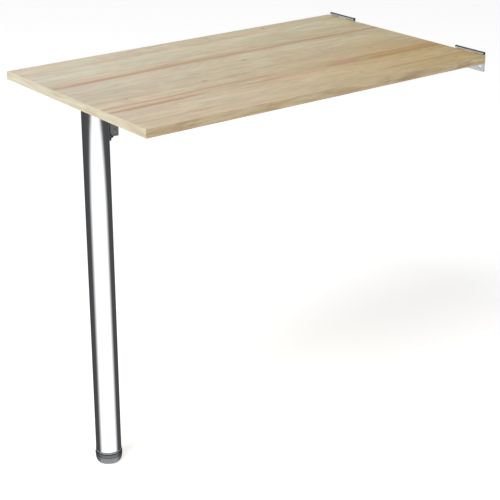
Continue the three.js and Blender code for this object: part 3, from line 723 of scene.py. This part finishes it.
def cross_outline():
    """The cross recess of a screw's head."""
    a, b = RECESS_HALF, RECESS_REACH
    quarter = [(b, -a), (b, a), (a, a)]
    points = []
    for turn in range(4):
        spin = Matrix.Rotation(turn * math.pi / 2, 2)
        points += [tuple(spin @ Vector(p)) for p in quarter]
    return rounded(points, 0.15 * MM, 2)


def screw_shape():
    """Countersunk screw with a cross recess, its face at height 0 and its shank above."""
    rim, floor, head_end, point_start, point = 0.5 * MM, 1.2 * MM, 2.4 * MM, 11.6 * MM, 13.4 * MM
    bore = 2.3 * MM
    face = plate(circle((0, 0), SCREW_HEAD - GAP / 2, 40), 0.7 * MM, [cross_outline()], 0.12 * MM)
    recess_floor = plate(circle((0, 0), bore + 0.3 * MM, 24), 0.5 * MM).at(0, 0, floor - 0.3 * MM)
    body = turned([
        (bore, rim), (SCREW_HEAD - GAP, rim), (SCREW_SHANK, head_end), (SCREW_SHANK, point_start),
        (0, point), (0, floor), (bore, floor),
    ], 40)
    return face + recess_floor + body


def countersink(mouth, throat, depth):
    """Conical lining of a hole, its wide mouth at height 0."""
    return turned([(mouth, 0), (mouth + 0.02 * MM, depth), (throat, depth), (throat, depth - 0.4 * MM)], 40)


def screw_seat(sheet):
    """Lining of a screw's hole in sheet metal, just clear of the sheet's two faces."""
    lining = countersink(HOLE_MOUTH, SCREW_SHANK + 0.3 * MM, sheet - GAP)
    return lining.at(0, 0, GAP / 2)


def screw_pieces():
    shape = screw_shape()
    for node in frame["nodes"]:
        if "_screw_" not in node:
            continue
        low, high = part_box(node)
        centre = (low + high) / 2
        make(node, shape.at(centre.x, centre.y, low.z - GAP), "leaf", BRIGHT_ZINC, 28)


def screws_in(node_start):
    """Centres of the screws whose nodes start with these words."""
    places = []
    for node in frame["nodes"]:
        if node.startswith(node_start):
            low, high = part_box(node)
            places.append(((low.x + high.x) / 2, (low.y + high.y) / 2))
    return places


# ---- hinges ----

SHEET = 2 * MM  # thickness of the wall plates and straps
PIN_RADIUS = 1.5 * MM
KNUCKLE_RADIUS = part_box("hinge_pin_near")[1].z - HINGE_AXIS.z
MIDDLE_KNUCKLE = 27 * MM
KNUCKLE_GAP = 0.3 * MM
WALL_HOLE_RADIUS = 2.3 * MM
WALL_HOLE_SPACING = 27 * MM
WALL_HOLE_DROP = 10 * MM
STRAP_GAP = 0.6 * MM  # between the wall plate and the strap's end plate
STRAP_ROOT = 13 * MM  # half the strap's width at its wide end
STRAP_ROOT_LENGTH = 14 * MM
STRAP_TIP = 4.5 * MM  # half its width at its round tip


def knuckle(y0, y1):
    """One rolled knuckle on the hinge's axis, from one place along Y to another."""
    length = y1 - y0
    body = ring(PIN_RADIUS + GAP, KNUCKLE_RADIUS, 0, length, 0.25 * MM, 48)
    return body.moved(ALONG_Y).at(HINGE_AXIS.x, y0, HINGE_AXIS.z)


def wall_plate(low, high):
    """Plate on the wall with three countersunk holes, and a knuckle on each side of a notch."""
    middle = (low.y + high.y) / 2
    recess = MIDDLE_KNUCKLE / 2 + KNUCKLE_GAP
    notch = LEAF_HIGH.z - 0.8 * MM
    root = HINGE_AXIS.z - 1 * MM
    corner = 1.5 * MM
    outline = [
        *arc((low.y + corner, low.z + corner), corner, 180, 270, 6),
        *arc((high.y - corner, low.z + corner), corner, 270, 360, 6),
        (high.y, root), (middle + recess, root), (middle + recess, notch),
        (middle - recess, notch), (middle - recess, root), (low.y, root),
    ]
    hole_z = LEAF_LOW.z - WALL_HOLE_DROP
    holes = [(middle + offset, hole_z) for offset in (-WALL_HOLE_SPACING, 0, WALL_HOLE_SPACING)]
    mouth = 2 * WALL_HOLE_RADIUS
    shape = plate(outline, SHEET, [circle(hole, mouth) for hole in holes], 0.2 * MM).moved(WALL_VIEW)
    for y, z in holes:
        lining = countersink(mouth, WALL_HOLE_RADIUS, SHEET - GAP)
        shape += lining.moved(AGAINST_X).at(SHEET - GAP, y, z)
    return shape + knuckle(low.y, middle - recess) + knuckle(middle + recess, high.y)


def strap(low, high):
    """Tapered strap under the leaf, with an upright end plate and the middle knuckle."""
    middle = (low.y + high.y) / 2
    screws = [place for place in screws_in("strap_screw") if low.y < place[1] < high.y]
    strap_y = screws[0][1]
    start = SHEET + STRAP_GAP
    taper = start + STRAP_ROOT_LENGTH
    under = LEAF_LOW.z - GAP
    outline = [
        (start, strap_y - STRAP_ROOT), (taper, strap_y - STRAP_ROOT),
        *arc((high.x - STRAP_TIP, strap_y), STRAP_TIP, -90, 90, 10),
        (taper, strap_y + STRAP_ROOT), (start, strap_y + STRAP_ROOT),
    ]
    holes = [circle(place, HOLE_MOUTH) for place in screws]
    flat = plate(outline, SHEET, holes, 0.2 * MM).at(0, 0, under - SHEET)
    for x, y in screws:
        flat += screw_seat(SHEET).at(x, y, under - SHEET)
    half = MIDDLE_KNUCKLE / 2
    shoulder = LEAF_HIGH.z - 1 * MM
    upright = plate([
        (low.y, under - SHEET), (high.y, under - SHEET), (high.y, shoulder), (middle + half, shoulder),
        (middle + half, HINGE_AXIS.z), (middle - half, HINGE_AXIS.z), (middle - half, shoulder),
        (low.y, shoulder),
    ], SHEET, (), 0.2 * MM).moved(WALL_VIEW).at(start, 0, 0)
    return flat + upright + knuckle(middle - half, middle + half)


def hinge_pin(low, high):
    """Pin through the three knuckles, with a domed head."""
    start, end = low.y, high.y
    head = 1.7 * MM
    shape = turned([
        (0, start), (PIN_RADIUS - 0.3 * MM, start), (PIN_RADIUS, start + 0.3 * MM), (PIN_RADIUS, end - head),
        *[(radius, end - head + height) for radius, height in dome(KNUCKLE_RADIUS, head)], (0, end),
    ], 48)
    return shape.moved(ALONG_Y).at(HINGE_AXIS.x, 0, HINGE_AXIS.z)


def hinge_pieces():
    for side in ("near", "far"):
        make_in_box(f"wall_plate_{side}", wall_plate, "wall_side", ZINC)
        make_in_box(f"hinge_strap_{side}", strap, "leaf", ZINC)
        make_in_box(f"hinge_pin_{side}", hinge_pin, "wall_side", DARK_STEEL)


# ---- leg bracket ----

BRACKET_SHEET = 2.5 * MM
EAR_INNER = 9.5 * MM
EAR_DROP = 10.5 * MM
EAR_BACK = 7 * MM
PIVOT_RADIUS = 3 * MM


def bracket_outline():
    """Hourglass: a wide round end over the leg, a waist and a smaller round end."""
    wide, waist, lobe = 25 * MM, 8.5 * MM, 16 * MM
    front, shoulder, narrow, lobe_x = (LEG_X + d * MM for d in (11, -34, -66, -90))
    meet = 0.55 * math.pi  # the angle on the small end where the waist runs into it
    meet_x, meet_y = lobe_x - lobe * math.cos(meet), lobe * math.sin(meet)
    side = bezier((shoulder, wide), (shoulder - 16 * MM, wide), (narrow + 12 * MM, waist), (narrow, waist))
    side += bezier((narrow, waist), (narrow - 8 * MM, waist), (meet_x + 7 * MM, meet_y), (meet_x, meet_y))
    other = [(x, -y) for x, y in reversed(side)]
    round_end = arc((lobe_x, 0), lobe, 180 - math.degrees(meet), 180 + math.degrees(meet), 24)
    return arc((front, 0), wide, -90, 90, 28) + side + round_end + other


def ear_outline():
    """One of the bracket's two ears, seen from the side."""
    top = bracket_high.z - 1 * MM
    back, low, corner = PIVOT.x - EAR_BACK, PIVOT.z - EAR_DROP, 1.5 * MM
    return [
        (back, top), *arc((back + corner, low + corner), corner, 180, 270, 6),
        *arc((PIVOT.x, PIVOT.z), EAR_DROP, -90, 0, 16), (PIVOT.x + EAR_DROP, top),
    ]


def bracket_shape():
    """The hourglass plate under the leaf, with its two ears."""
    screws = screws_in("bracket_screw")
    face = bracket_high.z - BRACKET_SHEET
    holes = [circle(place, HOLE_MOUTH) for place in screws]
    shape = plate(bracket_outline(), BRACKET_SHEET, holes, 0.35 * MM).at(0, 0, face)
    for x, y in screws:
        shape += screw_seat(BRACKET_SHEET).at(x, y, face)
    bore = circle((PIVOT.x, PIVOT.z), PIVOT_RADIUS + GAP)
    ear = plate(ear_outline(), BRACKET_SHEET, [bore], 0.35 * MM).moved(SIDE_VIEW)
    for y in (EAR_INNER + BRACKET_SHEET, -EAR_INNER):
        shape += ear.at(0, y, 0)
        root = Vector((PIVOT.x - EAR_BACK + 0.5 * MM, y - BRACKET_SHEET, face - 0.8 * MM))
        reach = Vector((EAR_BACK + EAR_DROP - 1 * MM, BRACKET_SHEET, 1.2 * MM))
        shape += block(root, root + reach, 0.3 * MM)
    return shape


def pivot_pin(low, high):
    """Headed pin through both ears, which the leg turns on."""
    shoulder = high.y - 0.9 * MM
    head = (high.x - low.x) / 2
    shape = turned([
        (0, low.y), (PIVOT_RADIUS - 0.5 * MM, low.y), (PIVOT_RADIUS, low.y + 0.5 * MM),
        (PIVOT_RADIUS, shoulder), (head, shoulder), (head, shoulder + 0.2 * MM),
        (head - 0.4 * MM, high.y - 0.2 * MM), (head - 1.2 * MM, high.y), (0, high.y),
    ], 64)
    return shape.moved(ALONG_Y).at(PIVOT.x, 0, PIVOT.z)


def pivot_clip(low, high):
    """Open snap ring on that pin."""
    radius, slot = (high.x - low.x) / 2, 1.9 * MM
    bore = PIVOT_RADIUS + GAP
    open_outer = math.degrees(math.asin(slot / radius))
    open_inner = math.degrees(math.asin(slot / bore))
    outline = arc((0, 0), radius, -90 + open_outer, 270 - open_outer, 40)
    outline += arc((0, 0), bore, 270 - open_inner, -90 + open_inner, 30)
    shape = plate(outline, high.y - low.y, (), 0.15 * MM).moved(SIDE_VIEW)
    return shape.at(PIVOT.x, high.y, PIVOT.z)


def seat_plug(low, high):
    """Block inside the tube's top. Its hollow side is an arc about the leg's pivot."""
    reach = 53.4 * MM  # the hollow side is an arc about the pivot, clear of the tube's rim
    corner = 4 * MM
    low_angle = math.degrees(math.asin((low.z - PIVOT.z) / reach))
    high_angle = math.degrees(math.acos((low.x - PIVOT.x) / reach))
    outline = [
        (low.x, high.z), *arc((PIVOT.x, PIVOT.z), reach, high_angle, low_angle, 20),
        *arc((high.x - corner, low.z + corner), corner, -90, 0, 8), (high.x, high.z),
    ]
    width = high.y - low.y
    rib_width = 2.2 * MM
    shape = plate(outline, width - 3 * MM, (), 0.8 * MM).moved(SIDE_VIEW).at(0, high.y - 1.5 * MM, 0)
    rib = plate(outline, rib_width, (), 0.5 * MM).moved(SIDE_VIEW)
    for k in range(5):
        shape += rib.at(0, high.y - k * (width - rib_width) / 4, 0)
    return shape


def bracket_pieces():
    # Bracket and pivot pin: their dark grey below the top sheet is painted shade.
    make("leg_bracket", bracket_shape(), "leaf", BRACKET_SILVER_AND_SHADE)
    make_in_box("leg_pivot_pin", pivot_pin, "leaf", BRACKET_SILVER_AND_SHADE)
    make_in_box("leg_pivot_clip", pivot_clip, "leaf", DARK_STEEL)
    make_in_box("seat_plug", seat_plug, "leaf", DARK_PLASTIC)


# ---- safety hook ----

HOOK_WIRE = 1.3 * MM
HOOK_LOOP = 2.7 * MM
EYE_WIRE = 1 * MM


def hoop(radius, thickness, steps=48):
    """A closed ring of wire."""
    points = [(*p, 0) for p in circle((0, 0), radius, steps)]
    return wire(points, thickness, 16, closed=True)


def hook_eye(low, high):
    """Screw eye: a hoop, a small collar against the leaf and a pointed shank inside it."""
    loop = (high.y - low.y) / 2 - EYE_WIRE
    centre_z = low.z + EYE_WIRE + loop
    shape = hoop(loop, EYE_WIRE).moved(ALONG_X).at(HOOK_PIVOT.x, HOOK_PIVOT.y, centre_z)
    shank_low = centre_z + loop
    length = high.z - shank_low
    shank = turned([(0, 0), (EYE_WIRE, 0), (EYE_WIRE, length - EYE_WIRE), (0, length)], 24)
    collar = disc(2.1 * MM, 0, 0.9 * MM, 0.3 * MM, 32)
    shape += collar.at(HOOK_PIVOT.x, HOOK_PIVOT.y, LEAF_LOW.z - 1 * MM)
    return shape + shank.at(HOOK_PIVOT.x, HOOK_PIVOT.y, shank_low)


def hook_shape(low):
    """A loop in the eye, a straight shank and a tip that turns down, all of one wire."""
    reach = HOOK_PIVOT.x - (low.x + HOOK_WIRE)
    bend = 4 * MM
    x, y, z = HOOK_PIVOT
    corner = arc((x - reach + bend, z - bend), bend, 90, 180, 12)
    path = [(x - HOOK_LOOP, y, z), (x - 0.5 * reach, y, z)]
    path += [(px, y, pz) for px, pz in corner]
    path += [(x - reach, y, z - 0.6 * (z - low.z)), (x - reach, y, low.z)]
    return wire(path, HOOK_WIRE) + hoop(HOOK_LOOP, HOOK_WIRE).moved(SIDE_VIEW).at(x, y, z)


def hook_pieces():
    make_in_box("hook_eye", hook_eye, "leaf", BRIGHT_ZINC)
    make("safety_hook", hook_shape(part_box("safety_hook")[0]), "hook", BRIGHT_ZINC)


# ---- leg ----

TUBE_BORE = TUBE_RADIUS - 1.2 * MM
ARM_SHEET = 2.5 * MM
LEVER_PIN_RADIUS = 1.5 * MM
WEB_STOP = 6 * MM  # the web ends this far above the lever's pin
ARM_SLANT = 216  # the angle at which the flange's round back runs into the lobe round that pin


def tube_shape():
    return ring(TUBE_BORE, TUBE_RADIUS, tube_low.z, tube_high.z, 0.35 * MM, 160).at(LEG_X, 0, 0)


def collar_shape(low, high):
    """Black rim that sits on the tube's top and reaches a little into it."""
    seat = tube_high.z + GAP
    inner, skirt, outer = TUBE_BORE - 1.2 * MM, TUBE_BORE - 0.2 * MM, (high.x - low.x) / 2
    profile = [
        (inner, low.z), (skirt, low.z), (skirt, seat), (outer, seat),
        (outer, seat + 1.6 * MM), (outer - 1 * MM, high.z), (inner, high.z),
    ]
    return turned(rounded(profile, 0.4 * MM), 128).at(LEG_X, 0, 0)


def arm_shape(low, high):
    """Channel on the back of the tube: a web and two flanges."""
    round_back = 9 * MM
    back, front = low.x, high.x
    lobe = front - LEVER_PIVOT.x
    outline = [
        (front, high.z), *arc((back + round_back, high.z - round_back), round_back, 90, 180, 12),
        *arc((PIVOT.x, PIVOT.z), PIVOT.x - back, 180, ARM_SLANT, 8),
        *arc((LEVER_PIVOT.x, low.z + lobe), lobe, ARM_SLANT, 360, 16),
    ]
    bores = [
        circle((PIVOT.x, PIVOT.z), PIVOT_RADIUS + GAP),
        circle((LEVER_PIVOT.x, LEVER_PIVOT.z), LEVER_PIN_RADIUS + GAP, 24),
    ]
    flange = plate(outline, ARM_SHEET, bores, 0.4 * MM).moved(SIDE_VIEW)
    web = block(Vector((front - ARM_SHEET, low.y + 0.2 * MM, LEVER_PIVOT.z + WEB_STOP)),
                Vector((front, high.y - 0.2 * MM, high.z)), 0.4 * MM)
    return web + flange.at(0, high.y, 0) + flange.at(0, low.y + ARM_SHEET, 0)


def rivet_shape(low, high):
    """A domed head, a shank through the arm and the tube, and a tail inside the tube."""
    centre = (low + high) / 2
    outer, head = (high.y - low.y) / 2, 1.6 * MM
    shank, tail, tail_height = 2.4 * MM, 3.5 * MM, 1.4 * MM
    end = high.x - low.x - head
    shape = turned([
        (0, -head), *[(radius, -height) for radius, height in reversed(dome(outer, head))],
        (shank, 0), (shank, end - tail_height), (tail, end - tail_height),
        (tail, end - 0.4 * MM), (tail - 0.5 * MM, end), (0, end),
    ], 40)
    return shape.moved(ALONG_X).at(low.x + head, centre.y, centre.z)


def lever_shape(low, high):
    """A tab between the arm's flanges, with three grip ridges on its lower back."""
    x, z = LEVER_PIVOT.x, LEVER_PIVOT.z
    half = (high.y - low.y) / 2
    side = (high.x - low.x) / 2
    outline = arc((x, low.z + side), side, 180, 360, 16) + arc((x, high.z - side), side, 0, 180, 16)
    bore = circle((x, z), LEVER_PIN_RADIUS + GAP, 24)
    shape = plate(outline, 2 * half, [bore], 0.6 * MM).moved(SIDE_VIEW).at(0, half, 0)
    grip = wire([(0, -half + 0.8 * MM, 0), (0, half - 0.8 * MM, 0)], 0.4 * MM, 12)
    for k in range(3):
        shape += grip.at(low.x + 0.35 * MM, 0, low.z + side + 1.5 * k * MM)
    return shape


def lever_pin(low, high):
    radius = (high.x - low.x) / 2
    length = high.y - low.y
    return disc(radius, 0, length, 0.3 * MM, 32).moved(ALONG_Y).at(LEVER_PIVOT.x, low.y, LEVER_PIVOT.z)


def spring_shape(low, high):
    """Coil round the lever's pin."""
    turns, coil, thickness = 2.5, 2.9 * MM, 0.4 * MM
    first, last = low.y + thickness, high.y - thickness
    steps = 90
    points = []
    for i in range(steps + 1):
        angle = 2 * math.pi * turns * i / steps
        points.append((LEVER_PIVOT.x + coil * math.cos(angle), first + (last - first) * i / steps,
                       LEVER_PIVOT.z + coil * math.sin(angle)))
    return wire(points, thickness, 10)


def leg_pieces():
    make("leg_tube", tube_shape(), "leg", CHROME)
    make_in_box("tube_collar", collar_shape, "leg", BLACK_PLASTIC)
    make_in_box("hinge_arm", arm_shape, "leg", BLACK_LACQUER)
    for index in (1, 2):
        make_in_box(f"arm_rivet_{index}", rivet_shape, "leg", DARK_STEEL)
    make_in_box("lever_pin", lever_pin, "leg", DARK_STEEL)
    make_in_box("lever_spring", spring_shape, "leg", BRIGHT_ZINC)
    make_in_box("release_lever", lever_shape, "lever", BLACK_PLASTIC)


# ---- foot ----

THREAD_PITCH = 1.25 * MM
THREAD_DEPTH = 0.35 * MM


def insert_shape(low, high):
    """Plug in the tube's lower end, with a flange that shows as a ring."""
    bore, rim = 4.2 * MM, tube_low.z - GAP
    body = TUBE_BORE - 0.3 * MM
    flange = (high.x - low.x) / 2
    profile = [
        (bore, low.z), (flange - 1.2 * MM, low.z), (flange, low.z + 1.2 * MM), (flange, rim),
        (body, rim), (body, high.z - 2 * MM), (body - 2 * MM, high.z), (bore, high.z),
    ]
    return turned(rounded(profile, 0.3 * MM), 128).at(LEG_X, 0, 0)


def stud_shape(low, high):
    """Threaded stud: its radius follows a helix."""
    radius = (high.x - low.x) / 2
    steps = int((high.z - low.z) / (THREAD_PITCH / 8))
    heights = [low.z + (high.z - low.z) * i / steps for i in range(steps + 1)]

    def thread(base, height, angle):
        turn = (height / THREAD_PITCH - angle / (2 * math.pi)) % 1
        end = min(1, (high.z - height) / THREAD_PITCH)
        return base - THREAD_DEPTH * abs(2 * turn - 1) * end - 0.5 * MM * (1 - end)

    profile = [(0, low.z)] + [(radius, height) for height in heights] + [(0, high.z)]
    return turned(profile, 32, thread).at(LEG_X, 0, 0)


def foot_disc(low, high):
    """Dark disc between the ring and the base, stepped in below."""
    bore, radius = 4 * MM, (high.x - low.x) / 2
    groove = 1.2 * MM
    middle = low.z + 0.4 * (high.z - low.z)
    profile = [
        (bore, low.z), (radius - groove, low.z), (radius - groove, middle), (radius, middle + groove),
        (radius, high.z - 1.8 * MM), (radius - 1.8 * MM, high.z), (bore, high.z),
    ]
    return turned(rounded(profile, 0.6 * MM), 128).at(LEG_X, 0, 0)


def foot_base(low, high):
    """Round base whose lower edge is a quarter ellipse beside a flat middle."""
    radius, flat = (high.x - low.x) / 2, 20 * MM
    rise = high.z - low.z - 1 * MM
    profile = [(0, low.z)]
    for i in range(17):
        angle = math.pi / 2 * i / 16
        profile.append((flat + (radius - flat) * math.sin(angle), low.z + rise * (1 - math.cos(angle))))
    profile += [(radius, high.z - 0.4 * MM), (radius - 0.4 * MM, high.z), (0, high.z)]
    return turned(profile, 128).at(LEG_X, 0, 0)


def foot_pieces():
    make_in_box("foot_insert", insert_shape, "leg", GREY_PLASTIC)
    make_in_box("foot_stud", stud_shape, "foot", BRIGHT_ZINC)
    make_in_box("foot_disc", foot_disc, "foot", DARK_PLASTIC)
    make_in_box("foot_base", foot_base, "foot", GREY_PLASTIC)


leaf_pieces()
screw_pieces()
hinge_pieces()
bracket_pieces()
hook_pieces()
leg_pieces()
foot_pieces()

# ---- camera, floor and light ----

CAMERA_AZIMUTH = 142.2
CAMERA_ELEVATION = 21.15
CAMERA_DISTANCE = 2.743
CAMERA_AIM = Vector((0.4314, 0.0302, -0.3021))
CAMERA_LENS = 99.8
CAMERA_SHIFT = -0.05
LIGHT_AIM = Vector((0.45, 0, -0.1))
FLOOR_HALF = 30


def direction(azimuth, elevation):
    """Unit vector from the object to a place seen at that azimuth and elevation."""
    a, e = math.radians(azimuth), math.radians(elevation)
    return Vector((math.sin(a) * math.cos(e), -math.cos(a) * math.cos(e), math.sin(e)))


def looking_from(place_direction):
    """Rotation of a camera or lamp that stands in this direction and looks back."""
    return (-place_direction).to_track_quat("-Z", "Y").to_euler()


def add_camera():
    data = bpy.data.cameras.new("camera")
    data.lens = CAMERA_LENS
    data.shift_y = CAMERA_SHIFT
    data.clip_end = 100
    camera = placed("camera", data)
    back = direction(CAMERA_AZIMUTH, CAMERA_ELEVATION)
    camera.location = CAMERA_AIM + back * CAMERA_DISTANCE
    camera.rotation_euler = looking_from(back)
    bpy.context.scene.camera = camera


def add_floor():
    """Pale floor that shows from above only, and that shiny pieces don't mirror."""
    mesh = bpy.data.meshes.new("floor")
    half, z = FLOOR_HALF, FLOOR_Z - GAP
    mesh.from_pydata([(-half, -half, z), (half, -half, z), (half, half, z), (-half, half, z)], [],
                     [(0, 1, 2, 3)])
    floor = placed("floor", mesh)
    floor.visible_glossy = False
    material = bpy.data.materials.new("floor")
    material.use_nodes = True
    tree = material.node_tree
    shader = tree.nodes["Principled BSDF"]
    shader.inputs["Base Color"].default_value = (0.80, 0.80, 0.80, 1)
    shader.inputs["Roughness"].default_value = 0.9
    shader.inputs["Specular IOR Level"].default_value = 0.1
    shader.inputs["Emission Color"].default_value = (1, 1, 1, 1)
    shader.inputs["Emission Strength"].default_value = 0.6
    clear = tree.nodes.new("ShaderNodeBsdfTransparent")
    mix = tree.nodes.new("ShaderNodeMixShader")
    geometry = tree.nodes.new("ShaderNodeNewGeometry")
    tree.links.new(geometry.outputs["Backfacing"], mix.inputs[0])
    tree.links.new(shader.outputs[0], mix.inputs[1])
    tree.links.new(clear.outputs[0], mix.inputs[2])
    tree.links.new(mix.outputs[0], tree.nodes["Material Output"].inputs["Surface"])
    mesh.materials.append(material)


def add_light(name, azimuth, elevation, distance, size, power):
    data = bpy.data.lights.new(name, "AREA")
    data.shape = "DISK"
    data.size = size
    data.energy = power
    light = placed(name, data)
    back = direction(azimuth, elevation)
    light.location = LIGHT_AIM + back * distance
    light.rotation_euler = looking_from(back)
    light.visible_glossy = False


AMBIENT = 0.30
STUDIO_DARK = 0.10
STUDIO_BRIGHT = 1.35
# Half the width of the front soft box, in radians, against the sine of the height it is seen at.
BOX_WIDTHS = [(-0.80, 1.9), (-0.52, 1.27), (-0.41, 1.19), (-0.345, 1.15), (-0.318, 1.00),
              (-0.297, 0.78), (-0.284, 0.52), (-0.26, 0.40), (0.0, 0.38)]
FRONT_AZIMUTH = 151
FRONT_FADE = (-0.38, 0.34)
# The box behind starts at this angle from the front one, and the box overhead ends at its own.
BACK_START = 2.75
BACK_LEVEL = 0.8
OVERHEAD_END = 1.9
OVERHEAD_LEVEL = 0.75


class Sky(Paint):
    """The studio round the table, as nodes of the world."""

    def __init__(self):
        self.world = bpy.data.worlds.new("studio")
        self.world.use_nodes = True
        self.tree = self.world.node_tree
        self.place = self.node("ShaderNodeTexCoord").outputs["Generated"]


def add_studio():
    """White to the eye, even light for matt surfaces, and soft boxes with dark gaps for shiny ones."""
    sky = Sky()
    x, y, z = sky.axes()
    front = direction(FRONT_AZIMUTH, 0)
    flat = (x * x + y * y).root().at_least(0.001)
    turn = sky.math("ARCCOSINE", (x * front.x + y * front.y) / flat)
    front_box = (sky.curve(z, BOX_WIDTHS) - turn).rises(*FRONT_FADE)
    back_box = (turn - BACK_START).rises(0, 0.15)
    overhead = z.rises(0.15, 0.7) * (OVERHEAD_END - turn).rises(0, 0.3)
    glow = strongest([front_box, back_box * BACK_LEVEL, overhead * OVERHEAD_LEVEL])
    dark = STUDIO_DARK - turn * 0.012
    mirrored = dark + glow * (STUDIO_BRIGHT - dark)
    path = sky.node("ShaderNodeLightPath")
    glossy = Field(sky, path.outputs["Is Glossy Ray"])
    camera = Field(sky, path.outputs["Is Camera Ray"])
    strength = AMBIENT + glossy * (mirrored - AMBIENT) + camera * (1 - AMBIENT)
    background = sky.tree.nodes["Background"]
    background.inputs["Color"].default_value = (1, 1, 1, 1)
    sky.link(strength, background.inputs["Strength"])
    bpy.context.scene.world = sky.world


add_camera()
add_floor()
add_light("key", 105, 50, 5.0, 3.0, 185)
add_light("fill", 175, 30, 4.5, 2.5, 20)
add_studio()
bpy.context.scene.view_settings.view_transform = "Standard"
